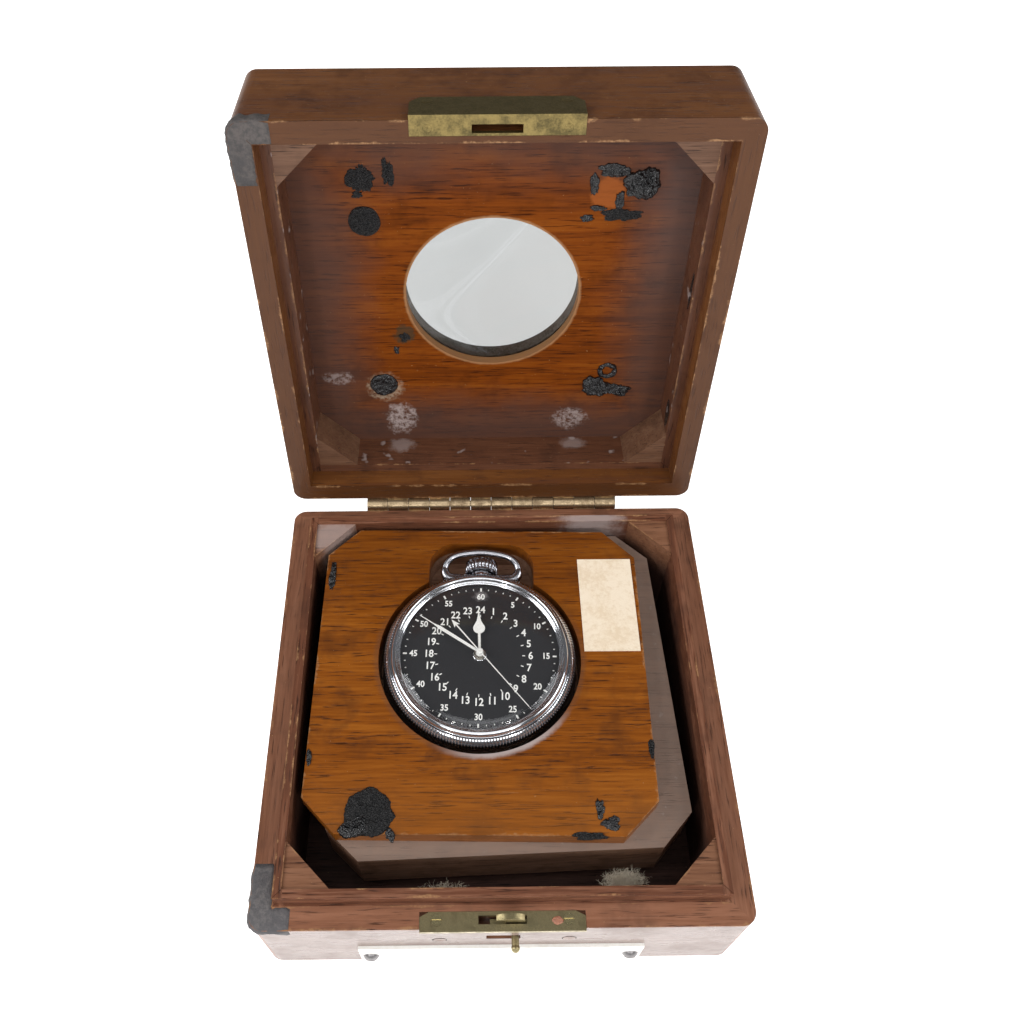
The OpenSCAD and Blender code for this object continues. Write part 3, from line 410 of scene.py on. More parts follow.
def lid_inner_marks(f, x, y, z):
    r = rub(f, x, y, z)
    inward = from_outside(f, x, y)
    right_side = f.step(x, 48, 50)
    return [
        (near_edge(f, inward - liner_in, z - lid_rim - 6.4, 0.7, r * 0.4) * 0.7, BARE, 0.1),
        (f.patch(x, z, (-27, lid_rim + 15), (3.4, 2.6), r * 0.3) * f.step(y, 48, 50) * 0.45, DUSTY, 0.3),
        (f.patch(x, z, (25, lid_rim + 15), (3.4, 2.2), r * 0.3) * f.step(y, 48, 50) * 0.4, DUSTY, 0.3),
        (f.patch(y, z, (34, lid_rim + 10), (4.6, 2.2), r * 0.25, 0.3) * right_side, SMEAR, -0.2),
        (f.patch(y, z, (-8, lid_rim + 9), (6.0, 1.1), r * 0.25, 0.3) * right_side, SMEAR, -0.2),
        (f.step(f.cloud(f.join(x, y, z), 0.22, 2.0, 0.5), 0.64, 0.72) * f.step(inward, 7.6, 7.8) * 0.6, DUSTY, 0.2),
    ]


wear("base_liner", wood("liner_wood", RED, (0.135, 0.050, 0.026), WORN, "x", marks=liner_marks, liner=True))
wear("base_corner_blocks", wood("block_wood", (0.09, 0.035, 0.02), (0.19, 0.085, 0.045), (0.27, 0.13, 0.075), "x",
                                marks=block_marks))
wear("lid_liner", wood("lid_liner_wood", RED, (0.105, 0.041, 0.021), (0.16, 0.066, 0.035), "x", lid_shut,
                       lid_inner_marks, liner=True))
wear("lid_corner_blocks", wood("lid_block_wood", (0.075, 0.032, 0.018), (0.135, 0.066, 0.037), (0.20, 0.105, 0.062),
                               "x", lid_shut))
wear("base_floor", wood("floor_wood", (0.02, 0.01, 0.008), (0.05, 0.024, 0.018), (0.08, 0.04, 0.03), "x"))

# %% [markdown]
# The panel inside the lid is the showpiece: warm in the middle, dark and dull towards the edges, with dusty
# fingerprints of old glue near the hinge. The dark towards the edges is painted shade from the lid's walls.
# The outer board of the lid is the same wood, seen from the back.

# %% Lid panel and lid board
def panel_marks(f, x, y, z):
    r = rub(f, x, y, z)
    edge = x.math("ABSOLUTE").math("MAXIMUM", (y * 1.02).math("ABSOLUTE"))
    drift = f.cloud(f.join(x, y, z), 0.05, 3.0, 0.6)
    lace = f.step(f.cloud(f.join(x, y, z), 0.75, 4.0, 0.75), 0.36, 0.62)
    bore = ((x * x) + (y + 1.5) * (y + 1.5)).math("SQRT")
    return [
        # painted shade: darker towards the edges, where the lid's walls shade the panel; the added roughness makes
        # them dull
        (f.step(edge + drift * 18 - 9, 27, 47) * 0.74, (0.070, 0.043, 0.036), 0.16),
        (f.step(x, 30, 48) * f.step(y, 15, -25) * 0.35, (0.12, 0.09, 0.085), 0.10),
        (f.patch(x, y, (-26.7, 42.5), (4.2, 5.5), r * 0.30, 0.5) * lace * 0.85, DUSTY, 0.4),
        (f.patch(x, y, (24, 43.0), (4.6, 3.6), r * 0.30, 0.6) * lace * 0.7, DUSTY, 0.4),
        (f.patch(x, y, (-44, 27), (4.0, 2.2), r * 0.30, 0.6) * lace * 0.5, DUSTY, 0.4),
        (f.patch(x, y, (-31.1, 30.2), (5.2, 5.0), r * 0.16, 0.4) * lace * 0.6, (0.42, 0.34, 0.24), 0.4),
        (f.patch(x, y, (-24, 11.5), (2.6, 3.2), r * 0.35, 0.4) * 0.7, (0.04, 0.035, 0.02), 0.2),
        (f.patch(x, y, (28.4, -31.2), (4.4, 4.4), r * 0.14, 0.3) * 0.8, (0.30, 0.082, 0.018), 0.0),
        (f.step((bore - 23.2) + r * 0.15, 0.9, 0.2) * 0.7, BARE, 0.1),
    ]


PANEL = ((0.050, 0.011, 0.0020), (0.162, 0.037, 0.003), (0.250, 0.068, 0.006))
wear("lid_panel", wood("panel_wood", *PANEL, "x", lid_shut, panel_marks, gloss=0.42, spread=0.42, coat=0.0,
                       shine=0.05))
wear("lid_board", wood("lid_board_wood", RED, LID_WALL, (0.19, 0.08, 0.04), "x", lid_shut, lid_marks))

# %% [markdown]
# The holder is one board glued on a thicker one. The top is orange-brown with strong straight grain.
# Round the pocket its edge is chipped and dusted white with filler; the board below is grey with dust on top.
# The top is painted lighter towards the front as painted light and darker towards the back as painted shade, and the
# pocket's wall is painted dark as shade.

# %% Holder
board_at = middle("holder_top") / MM
board_half = 43.75


def board_frame(f, x, y, at, turn):
    """Coordinates along the board's own sides."""
    dx, dy = x - at[0], y - at[1]
    return dx * cos(turn) + dy * sin(turn), dy * cos(turn) - dx * sin(turn)


def holder_marks(f, x, y, z):
    r = rub(f, x, y, z)
    u, v = board_frame(f, x, y, (board_at.x, board_at.y), radians(-1.2))
    au, av = u.math("ABSOLUTE"), v.math("ABSOLUTE")
    edge = board_half - au.math("MAXIMUM", av).math("MAXIMUM", au + av - (2 * board_half - 8.7) + board_half)
    wx, wy = watch_at.translation.x / MM, watch_at.translation.y / MM
    dx, dy = x - wx, y - wy
    reach = (dx * dx + dy * dy).math("SQRT")
    lip = f.step(reach + r * 0.22, 28.9, 27.5)
    top = f.step(z, board_top / MM - 0.3, board_top / MM - 0.05)
    line = near_edge(f, (v + 33 + u * 0.04) * 3, (x + 4) * 0.05, 1.0, r * 0.06)
    return [
        # painted light: the top turns lighter towards the front, where more light falls
        (f.step(v, -24, -41) * 0.32, (0.32, 0.11, 0.018), 0.0),
        (near_edge(f, v + 23.5, v * 0, 3.4, r * 0.3) * 0.45, (0.075, 0.022, 0.006), 0.0),
        # painted shade: the top turns darker towards the back, where less light falls
        (f.step(v, 2, 43) * 0.36, (0.07, 0.020, 0.004), 0.05),
        (near_edge(f, edge, z - board_top / MM, 0.9, r * 0.45) * 0.6, BARE, 0.1),
        (lip * f.step(dy, 18, 4) * top * 0.35, (0.10, 0.05, 0.03), 0.2),
        (lip * f.step(dy, -14, -24) * f.step(dx, -14, 2) * top * 0.9, DUSTY, 0.4),
        # painted shade: the pocket's wall, below the top, is darkened as the shadow in the pocket
        (f.step(reach, 26.9, 27.3) * f.step(reach, 28.2, 27.4) * (1 - top) * 0.6, (0.05, 0.02, 0.01), 0.1),
        (line * 0.45, BARE, 0.1),
    ]


def under_marks(f, x, y, z):
    top = f.step(z, (board_top / MM) - 5.4, (board_top / MM) - 5.05)
    dust = f.cloud(f.join(x, y, z), 0.45, 4.0, 0.7)
    return [
        (top * (0.62 + dust * 0.4), (0.215, 0.160, 0.130), 0.5),
        (top * f.step(dust, 0.62, 0.74) * 0.5, (0.32, 0.26, 0.23), 0.4),
    ]


BOARD = ((0.066, 0.016, 0.002), (0.215, 0.058, 0.004), (0.330, 0.105, 0.010))
wear("holder_top", wood("board_wood", *BOARD, "x", marks=holder_marks, gloss=0.30, spread=0.55, coat=0.3))
wear("holder_under", wood("under_wood", (0.14, 0.07, 0.04), (0.30, 0.16, 0.10), (0.42, 0.25, 0.17), "x",
                          marks=under_marks, coat=0.2))

# %% [markdown]
# ## Metal, glass, paper and the rest
# Old brass is olive rather than gold: a brown-green film lies over it and bright metal shows only where it is
# rubbed. Chrome is nearly a mirror, with faint scratches. The dial is satin black.

# %% Brass, chrome and movement metal
def brass(name, bright, film, amount, rough, turn=None):
    f = Finish(name, Metallic=1.0)
    p = f.place(turn)
    blotch = f.cloud(p, 0.32, 4.0, 0.65)
    fine = f.cloud(p, 2.2, 3.0, 0.6)
    pit = f.step(f.cloud(p, 3.0, 2.0, 0.6), 0.66, 0.74)
    tarnish = f.step(blotch * 0.7 + fine * 0.3, 0.62 - amount * 0.4, 0.66)
    colour = f.mix(tarnish, bright, film)
    colour = f.mix(pit * 0.7, colour, (0.05, 0.04, 0.025))
    return f.put(Base_Color=colour, Roughness=rough + tarnish * 0.22 + fine * 0.08,
                 Normal=f.bump(fine * 0.5 - pit, 0.35, 0.00008))


OLD = (0.23, 0.195, 0.105)
wear("catch_plate catch_bolt", brass("catch_brass", (0.42, 0.35, 0.19), (0.22, 0.19, 0.105), 0.62, 0.26))
wear("catch_screws", brass("screw_brass", (0.80, 0.68, 0.36), OLD, 0.25, 0.18))
wear("lid_catch_plate lid_catch_screws",
     brass("lid_catch_brass", (0.26, 0.195, 0.075), (0.125, 0.100, 0.045), 0.7, 0.36))
wear("hinge_base_leaf hinge_lid_leaf hinge_pin hinge_base_screws hinge_lid_screws",
     brass("hinge_brass", (0.55, 0.42, 0.26), (0.24, 0.17, 0.10), 0.6, 0.28))
wear("third_wheel minute_wheel mainspring_barrel balance_wheel",
     brass("wheel_brass", (0.83, 0.63, 0.30), (0.62, 0.46, 0.22), 0.2, 0.2))


def chrome(name, tint, rough, scratch):
    f = Finish(name, Metallic=1.0)
    p = f.place()
    x, y, z = f.split(p)
    hair = f.cloud(f.join(x * 0.3, y * 2.0, z * 2.0), 1.6, 2.0, 0.7)
    haze = f.cloud(p, 0.5, 3.0, 0.6)
    spot = f.step(f.cloud(p, 2.4, 2.0, 0.5), 0.68, 0.78)
    colour = f.mix(spot * 0.5, tint, tuple(c * 0.35 for c in tint))
    return f.put(Base_Color=colour, Roughness=rough + haze * 0.07 + spot * 0.15,
                 Normal=f.bump(hair, scratch, 0.00004))


wear("bezel", chrome("case_chrome", (0.76, 0.77, 0.80), 0.05, 0.10))
wear("crown bow", chrome("worn_chrome", (0.42, 0.42, 0.45), 0.20, 0.25))
wear("case_band case_back winding_stem", chrome("band_chrome", (0.60, 0.60, 0.62), 0.12, 0.15))
wear("name_plate_screws", chrome("dull_steel", (0.22, 0.21, 0.21), 0.34, 0.3))
wear("main_plate train_bridge balance_cock escape_wheel pallet_fork hairspring hour_wheel center_wheel fourth_wheel",
     chrome("movement_nickel", (0.62, 0.59, 0.54), 0.24, 0.2))

# %% Glass, dial, plate, label, felt and sponge
def glass(name, tint, rough):
    return Finish(name, Base_Color=tint, Roughness=rough, IOR=1.48, Transmission_Weight=1.0).material


def thin_glass(name):
    """Clear sheet that lets lamps through: mostly a hole, a little mirror."""
    f = Finish(name)
    tree = f.tree
    clear = tree.nodes.new("ShaderNodeBsdfTransparent")
    shine = f.shader
    shine.inputs["Metallic"].default_value, shine.inputs["Roughness"].default_value = 1.0, 0.02
    shine.inputs["Base Color"].default_value = (0.9, 0.92, 0.95, 1)
    both = tree.nodes.new("ShaderNodeMixShader")
    facing = f.node("LayerWeight", None, {"Blend": 0.22}, out=1)
    amount = 0.035 + facing * facing * 0.55
    tree.links.new(amount.socket, both.inputs[0])
    tree.links.new(clear.outputs[0], both.inputs[1])
    tree.links.new(shine.outputs[0], both.inputs[2])
    tree.links.new(both.outputs[0], tree.nodes["Material Output"].inputs["Surface"])
    return f.material


wear("window_glass", glass("window_glass_clear", (0.405, 0.415, 0.412, 1), 0.0))
wear("crystal", thin_glass("crystal_clear"))


def dial_black():
    f = Finish("dial_black", Specular_IOR_Level=0.4)
    x, y, z = f.split(f.place())
    p = f.join(x, y, z)
    c = watch_at @ Vector((0.0, 0.0180, 0))
    smudge = f.patch(x, y, (c.x / MM, c.y / MM), (1.7, 1.3), (f.cloud(p, 0.9, 3.0) - 0.5) * 1.6, 0.9)
    speck = f.step(f.cloud(p, 1.7, 2.0, 0.6), 0.72, 0.76)
    colour = f.mix(smudge * 0.85 + speck * 0.25, (0.022, 0.022, 0.024), (0.21, 0.20, 0.20))
    return f.put(Base_Color=colour, Roughness=0.42 + f.cloud(p, 0.4) * 0.1)


def speckled(name, base, second, scale, rough, lift, turn=None, **constants):
    f = Finish(name, **constants)
    p = f.place(turn)
    dots, broad = f.cloud(p, scale, 4.0, 0.7), f.cloud(p, scale * 0.12, 3.0, 0.6)
    colour = f.mix(f.step(dots * 0.6 + broad * 0.4, 0.42, 0.64), base, second)
    return f.put(Base_Color=colour, Roughness=rough + dots * 0.15, Normal=f.bump(dots, 0.6, lift))


wear("dial", dial_black())
wear("name_plate", speckled("ivory_plate", (0.88, 0.87, 0.83), (0.80, 0.78, 0.72), 0.5, 0.30, 0.00003))
wear("paper_label", speckled("label_paper", (0.84, 0.72, 0.56), (0.74, 0.60, 0.43), 0.9, 0.8, 0.00010))
wear("pocket_felt", speckled("dark_felt", (0.06, 0.035, 0.025), (0.025, 0.015, 0.012), 2.5, 0.85, 0.0002))
wear("window_putty", speckled("old_putty", (0.55, 0.47, 0.40), (0.30, 0.24, 0.19), 1.4, 0.7, 0.0003))
wear("floor_pads", speckled("sponge_black", (0.012, 0.012, 0.013), (0.035, 0.033, 0.032), 1.2, 0.75, 0.0006))
wear("lid_pad_rests holder_pad_rests", nodes["floor_pads"].data.materials[0])
wear("hour_hand minute_hand second_hand", speckled("hand_paint", (0.93, 0.93, 0.89), (0.86, 0.85, 0.80), 1.5, 0.45,
                                                  0.00002))

# %% [markdown]
# ## Making small pieces
# Pieces are built in mesh code, in metres, straight in their place. `piece` turns lists of points and faces into an
# object, turns its faces outwards, gives it a finish and lets it ride on a body of the model, so that it moves with
# the lid or the watch.

# %% Helpers for pieces
def settle(mesh, name, body, slot, material, smooth=True, replaces=()):
    """Puts a finished mesh on a body of the model."""
    work = bmesh.new()
    work.from_mesh(mesh)
    bmesh.ops.remove_doubles(work, verts=work.verts, dist=1e-7)
    bmesh.ops.recalc_face_normals(work, faces=work.faces)
    work.to_mesh(mesh)
    work.free()
    for face in mesh.polygons:
        face.use_smooth = smooth
    mesh.materials.clear()
    mesh.materials.append(material)
    made = bpy.data.objects.new(name, mesh)
    bpy.context.scene.collection.objects.link(made)
    if replaces:
        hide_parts(*replaces)
    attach(made, body)
    print(name, "has", len(mesh.polygons), "faces and rides on", body)
    return made


def piece(name, points, faces, body, slot, material, place=Matrix(), **more):
    mesh = bpy.data.meshes.new(name)
    mesh.from_pydata([place @ (Vector(p) * MM) for p in points], [], faces)
    return settle(mesh, name, body, slot, material, **more)


def turned(outline, steps=96):
    """Points and faces of an outline of (radius, height) turned round Z. The outline is closed."""
    points, faces, n = [], [], len(outline)
    for i in range(steps):
        a = 2 * pi * i / steps
        points += [(r * cos(a), r * sin(a), h) for r, h in outline]
    for i in range(steps):
        j = (i + 1) % steps
        for k in range(n):
            m = (k + 1) % n
            faces.append((i * n + k, j * n + k, j * n + m, i * n + m))
    return points, faces


def slab(outline, low, high, ease=0.0):
    """A flat shape between two heights; ease draws the top's edge in a little."""
    n = len(outline)
    cx, cy = sum(p[0] for p in outline) / n, sum(p[1] for p in outline) / n

    def drawn_in(p):
        far = hypot(p[0] - cx, p[1] - cy) or 1
        return p[0] - (p[0] - cx) / far * ease, p[1] - (p[1] - cy) / far * ease

    rings = [(outline, low), (outline, high - ease)] + ([([drawn_in(p) for p in outline], high)] if ease else [])
    points = [(x, y, z) for ring, z in rings for x, y in ring]
    faces = [tuple(range(n))[::-1], tuple(range((len(rings) - 1) * n, len(rings) * n))]
    for level in range(len(rings) - 1):
        for i in range(n):
            j = (i + 1) % n
            faces.append((level * n + i, level * n + j, (level + 1) * n + j, (level + 1) * n + i))
    return points, faces


# %% [markdown]
# ## Glasses
# The window glass and the crystal are shallow domes. A dome turned from a smooth outline has no facets, which
# clear glass would show at once.

# %% Domes
def dome(node, turn=Matrix()):
    """The lowest and highest heights, the half width and the middle of the node, measured with turn undone."""
    inside = turn.inverted()
    heights = [(inside @ v.co) / MM for v in nodes[node].data.vertices]
    low, high = min(p.z for p in heights), max(p.z for p in heights)
    at = Vector(((min(p.x for p in heights) + max(p.x for p in heights)) / 2,
                 (min(p.y for p in heights) + max(p.y for p in heights)) / 2, 0))
    return low, high, (max(p.x for p in heights) - min(p.x for p in heights)) / 2, at


def glass_dome(name, node, body, thick, material, turn=Matrix(), steep=0):
    """A part of a ball, or with steep above 0 a flatter top with steep sides."""
    low, high, radius, at = dome(node, turn)
    rise = high - low - thick
    ball = (radius * radius + rise * rise) / (2 * rise)

    def arc(r, top, size):
        return top - size + (size * size - r * r) ** 0.5

    rows = [radius * sin(pi / 2 * i / 22) for i in range(23)]
    outline = [(max(r, 0.0), arc(r, high, ball)) for r in rows]
    outline += [(max(r, 0.0), arc(r, high - thick, ball - thick)) for r in rows[::-1]]
    if steep:
        inside = radius - thick * 0.9
        outline = [(r, low + thick + rise * (1 - (r / radius) ** steep) ** 0.5) for r in rows[:-1]]
        outline += [(radius, low + thick), (radius, low), (inside, low)]
        outline += [(r * inside / radius, low + rise * (1 - (r / radius) ** steep) ** 0.5) for r in rows[-2::-1]]
    points, faces = turned([(max(r, 1e-5), h) for r, h in outline], 128)
    place = turn @ Matrix.Translation(at * MM)
    return piece(name, points, faces, body, "glass", material, place, replaces=(node,))


glass_dome("window_dome", "window_glass", "lid", 1.6, nodes["window_glass"].data.materials[0], lid_open)
glass_dome("watch_dome", "crystal", "watch", 0.9, nodes["crystal"].data.materials[0], steep=8)

# %% [markdown]
# ## What repeats: a tree of Geometry Nodes
# The coin edge of the bezel, the flutes of the crown, the minute track and the tufts of fluff are all one thing
# set many times along a ring or over a patch. Each is a node tree with named inputs. The tree ends in Realize
# Instances and Set Material, and the result is taken over as a plain mesh.

# %% A small builder for node trees
class Tree:
    """One Geometry Nodes tree; inputs is a list of (name, kind, value)."""

    def __init__(self, name, inputs):
        self.tree = bpy.data.node_groups.new(name, "GeometryNodeTree")
        self.face = self.tree.interface
        self.face.new_socket("Geometry", in_out="OUTPUT", socket_type="NodeSocketGeometry")
        self.inputs = {}
        for title, kind, value in inputs:
            made = self.face.new_socket(title, in_out="INPUT", socket_type="NodeSocket" + kind)
            self.inputs[title] = (made.identifier, value)
        self.way_in = self.tree.nodes.new("NodeGroupInput")
        self.way_out = self.tree.nodes.new("NodeGroupOutput")

    def given(self, title):
        return self.way_in.outputs[title]

    def node(self, kind, values=None, out=0, **settings):
        made = self.tree.nodes.new(kind)
        for key, value in settings.items():
            setattr(made, key, value)
        for key, value in (values or {}).items():
            if isinstance(value, bpy.types.NodeSocket):
                self.tree.links.new(value, made.inputs[key])
            else:
                made.inputs[key].default_value = value
        return made.outputs[out]

    def finish(self, geometry, material):
        real = self.node("GeometryNodeRealizeInstances", {0: geometry})
        done = self.node("GeometryNodeSetMaterial", {"Geometry": real, "Material": material})
        self.tree.links.new(done, self.way_out.inputs[0])

    def grow(self, name):
        """Runs the tree once and gives its result as a plain mesh."""
        holder = bpy.data.objects.new(name, bpy.data.meshes.new(name))
        bpy.context.scene.collection.objects.link(holder)
        modifier = holder.modifiers.new(name, "NODES")
        modifier.node_group = self.tree
        for identifier, value in self.inputs.values():
            modifier[identifier] = value
        bpy.context.view_layer.update()
        ready = holder.evaluated_get(bpy.context.evaluated_depsgraph_get())
        mesh = bpy.data.meshes.new_from_object(ready)
        holder.modifiers.remove(modifier)
        bpy.data.objects.remove(holder)
        return mesh


def ribbed_ring(name, count, radius, width, height, material, sides=6, lean=pi / 2):
    """Ribs round a ring: the radius is where their middles stand, lean how steeply they rise."""
    t = Tree(name, [("Ribs", "Int", count), ("Ring Radius", "Float", radius * MM), ("Rib Width", "Float", width * MM),
                    ("Rib Height", "Float", height * MM), ("Lean", "Float", lean)])
    ring = t.node("GeometryNodeMeshCircle", {"Vertices": t.given("Ribs"), "Radius": t.given("Ring Radius")})
    half_width = t.node("ShaderNodeMath", {0: t.given("Rib Width"), 1: 0.5}, operation="MULTIPLY")
    rib = t.node("GeometryNodeMeshCylinder", {"Vertices": sides, "Radius": half_width,
                                              "Depth": t.given("Rib Height")})
    tip = t.node("ShaderNodeMath", {0: t.given("Lean"), 1: pi / 2}, operation="SUBTRACT")
    tilt = t.node("ShaderNodeCombineXYZ", {"Y": tip})
    leaning = t.node("GeometryNodeTransform", {"Geometry": rib, "Rotation": tilt})
    at = t.node("GeometryNodeInputPosition")
    facing = t.node("FunctionNodeAlignEulerToVector", {"Vector": at}, axis="X", pivot_axis="Z")
    set_out = t.node("GeometryNodeInstanceOnPoints", {"Points": ring, "Instance": leaning, "Rotation": facing})
    t.finish(set_out, material)
    return t.grow(name)


# %% [markdown]
# The coin edge is what a fingernail catches to unscrew the bezel: a band of fine ribs. The crown has coarser
# flutes for the thumb.

# %% Coin edge and crown
chrome_finish = nodes["bezel"].data.materials[0]
bezel_low, bezel_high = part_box("bezel")
bezel_at = watch_at @ Matrix.Translation((0, 0, bezel_low.z))
profile = [(23.1, 0), (24.9, 0), (25.15, 0.12), (25.34, 0.45), (25.36, 0.80), (25.22, 1.05), (25.12, 1.12),
           (24.92, 1.50), (24.60, 1.92), (24.20, 2.28), (23.84, 2.50), (23.74, 2.44), (23.62, 2.56), (23.55, 2.85),
           (23.36, 3.24), (23.08, 3.56), (22.78, 3.72), (22.50, 3.70), (22.26, 3.54), (22.14, 3.30), (22.10, 3.05),
           (22.10, 2.72), (21.85, 2.52), (21.22, 2.46), (21.20, 2.15), (22.1, 1.70), (23.1, 1.70)]
points, faces = turned(profile, 192)
piece("bezel_turned", points, faces, "watch", "steel", chrome_finish, bezel_at, replaces=("bezel",))
ground = [(24.80, -1.12), (25.30, -1.12), (25.37, -1.00), (25.38, 0.98), (25.20, 1.12), (23.92, 2.52), (23.80, 2.40),
          (24.90, 0.90)]
points, faces = turned(ground, 192)
# painted shade: the ground under the ribs is near-black, standing in for the shade between them
rib_shade = chrome("rib_shade", (0.035, 0.035, 0.040), 0.40, 0.3)
piece("coin_edge_ground", points, faces, "watch", "steel", rib_shade, bezel_at)
lean_in = atan2(2.44 - 1.10, 25.15 - 23.86)
rib_rings = (("coin_edge", 24.62, 1.84, 1.86, lean_in), ("coin_edge_wall", 25.36, 2.1, 0, pi / 2))
for name, radius, height, at, lean in rib_rings:
    edge = ribbed_ring(name + "_tree", 196, radius, 0.36, height, chrome_finish, lean=lean)
    edge.transform(bezel_at @ Matrix.Translation((0, 0, at * MM)))
    settle(edge, name, "watch", "steel", chrome_finish, smooth=False)

crown_low, crown_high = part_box("crown")
stem_y = (watch_at.inverted() @ ((crown_low + crown_high) / 2)).y
flutes = ribbed_ring("crown_tree", 26, 4.22, 0.80, 3.0, chrome_finish, 8)
flutes.transform(watch_at @ Matrix.Translation((0, stem_y - 0.55 * MM, (crown_low.z + crown_high.z) / 2))
                 @ Matrix.Rotation(-pi / 2, 4, "X"))
settle(flutes, "crown_flutes", "crown", "steel", nodes["crown"].data.materials[0])

# %% [markdown]
# The bow is a stirrup of wire: widest just above its feet, with an arched top. It is swept along a smooth path.

# %% Bow
def swept(path, wire, sides=20, swell=0.0, over=1.0):
    """A round wire along a flat path in x and y, with its ends closed; swell makes it fatter near y = 0."""
    points, faces, n = [], [], len(path)
    for i, (x, y) in enumerate(path):
        ax, ay = path[max(i - 1, 0)]
        bx, by = path[min(i + 1, n - 1)]
        far = hypot(bx - ax, by - ay)
        nx, ny = -(by - ay) / far, (bx - ax) / far
        radius = wire * (1 + swell * max(0.0, 1 - abs(y) / over) ** 0.7)
        for k in range(sides):
            a = 2 * pi * k / sides
            points.append((x + nx * radius * cos(a), y + ny * radius * cos(a), radius * sin(a)))
    for i in range(n - 1):
        for k in range(sides):
            m = (k + 1) % sides
            faces.append((i * sides + k, i * sides + m, (i + 1) * sides + m, (i + 1) * sides + k))
    faces += [tuple(range(sides))[::-1], tuple(range((n - 1) * sides, n * sides))]
    return points, faces


def smooth_path(knots, steps=9):
    """A Catmull-Rom curve through the knots."""
    out = []
    ends = [knots[0]] + knots + [knots[-1]]
    for i in range(1, len(ends) - 2):
        p = [Vector(k) for k in ends[i - 1:i + 3]]
        for j in range(steps):
            t = j / steps
            v = 0.5 * (2 * p[1] + (p[2] - p[0]) * t + (2 * p[0] - 5 * p[1] + 4 * p[2] - p[3]) * t * t
                       + (3 * p[1] - p[0] - 3 * p[2] + p[3]) * t ** 3)
            out.append((v.x, v.y))
    return out + [knots[-1]]


side_of_bow = [(4.0, 0.0), (6.6, 0.0), (9.0, 0.3), (10.3, 1.5), (10.5, 3.3), (9.7, 5.2), (7.9, 6.7), (4.6, 7.6)]
whole_bow = side_of_bow + [(0, 8.0)] + [(-x, y) for x, y in side_of_bow[::-1]]
points, faces = swept(smooth_path(whole_bow), 0.98, swell=0.6, over=3.2)
bow_at = watch_at @ Matrix.Translation(Vector((0, 25.7, 31.6)) * MM) @ Matrix.Rotation(radians(20), 4, "X")
piece("bow_wire", points, faces, "bow", "steel", nodes["bow"].data.materials[0], bow_at, replaces=("bow",))

# %% [markdown]
# ## The print on the dial
# The numbers are text turned into mesh, a hair above the dial. The outer ring counts minutes, the inner one the
# hours from 1 to 24. The minute track is one more node tree: sixty small dots, of which every fifth is a bar.

# %% Numbers and the minute track
ink = speckled("dial_ink", (0.95, 0.95, 0.91), (0.82, 0.82, 0.78), 2.0, 0.55, 0.00002)


def numbers(name, count, label, radius, size, first=0.0):
    """Upright numbers round the dial, clockwise from the top, as one mesh."""
    sheet = bmesh.new()
    for i in range(count):
        a = radians(first + 360 / count * i)
        curve = bpy.data.curves.new(name, "FONT")
        curve.body, curve.size, curve.align_x, curve.align_y = label(i), size * MM, "CENTER", "CENTER"
        curve.extrude, curve.resolution_u, curve.offset = 0.000012, 3, 0.000055
        text = bpy.data.objects.new(name, curve)
        bpy.context.scene.collection.objects.link(text)
        bpy.context.view_layer.update()
        mesh = bpy.data.meshes.new_from_object(text.evaluated_get(bpy.context.evaluated_depsgraph_get()))
        mesh.transform(Matrix.Diagonal((0.88, 1, 1, 1)))
        mesh.transform(Matrix.Translation((radius * MM * sin(a), radius * MM * cos(a), 0)))
        sheet.from_mesh(mesh)
        bpy.data.objects.remove(text)
        bpy.data.meshes.remove(mesh)
    done = bpy.data.meshes.new(name)
    sheet.to_mesh(done)
    sheet.free()
    done.transform(watch_at @ Matrix.Translation((0, 0, dial_top + 0.02 * MM)))
    return settle(done, name, "watch", "hand_white", ink, smooth=False)


numbers("hour_numbers", 24, lambda i: str(i or 24), 13.6, 3.0)
numbers("minute_numbers", 12, lambda i: str(5 * i or 60), 17.7, 2.45)


def track(name, count, radius, width, length, skip):
    """Flat marks round the dial; skip leaves out every such one, or none when it is 0."""
    t = Tree(name, [("Marks", "Int", count), ("Track Radius", "Float", radius * MM),
                    ("Mark Size", "Vector", (length * MM, width * MM, 0.03 * MM)), ("Skip", "Int", skip)])
    ring = t.node("GeometryNodeMeshCircle", {"Vertices": t.given("Marks"), "Radius": t.given("Track Radius")})
    mark = t.node("GeometryNodeMeshCube", {"Size": t.given("Mark Size")})
    at = t.node("GeometryNodeInputPosition")
    facing = t.node("FunctionNodeAlignEulerToVector", {"Vector": at}, axis="X", pivot_axis="Z")
    number = t.node("GeometryNodeInputIndex")
    rest = t.node("ShaderNodeMath", {0: number, 1: t.given("Skip")}, operation="FLOORED_MODULO")
    shown = t.node("FunctionNodeCompare", {0: rest, 1: 0.5}, operation="GREATER_THAN", data_type="FLOAT")
    every = t.node("FunctionNodeCompare", {0: t.given("Skip"), 1: 0.5}, operation="LESS_THAN", data_type="FLOAT")
    chosen = t.node("FunctionNodeBooleanMath", {0: shown, 1: every}, operation="OR")
    marks = t.node("GeometryNodeInstanceOnPoints", {"Points": ring, "Selection": chosen, "Instance": mark,
                                                    "Rotation": facing})
    t.finish(marks, ink)
    mesh = t.grow(name)
    mesh.transform(watch_at @ Matrix.Translation((0, 0, dial_top + 0.02 * MM)))
    return settle(mesh, name, "watch", "hand_white", ink, smooth=False)


track("minute_dots", 60, 20.0, 0.22, 0.42, 5)
track("five_minute_bars", 12, 20.0, 0.46, 1.05, 0)
track("hour_dashes", 24, 11.75, 0.24, 0.75, 0)

# %% [markdown]
# ## Hands
# The hour hand is a spade: a thin stem, a round belly and a long point. The minute hand is a bar with a needle at
# its end. The seconds hand is a needle with an arrow for a counterweight.

# %% Hands
hand_white = nodes["hour_hand"].data.materials[0]


def ring_points(radius, n):
    return [(radius * cos(2 * pi * i / n), radius * sin(2 * pi * i / n)) for i in range(n)]


hand_lift = 0.85 * MM  # the hands stand well clear of the dial


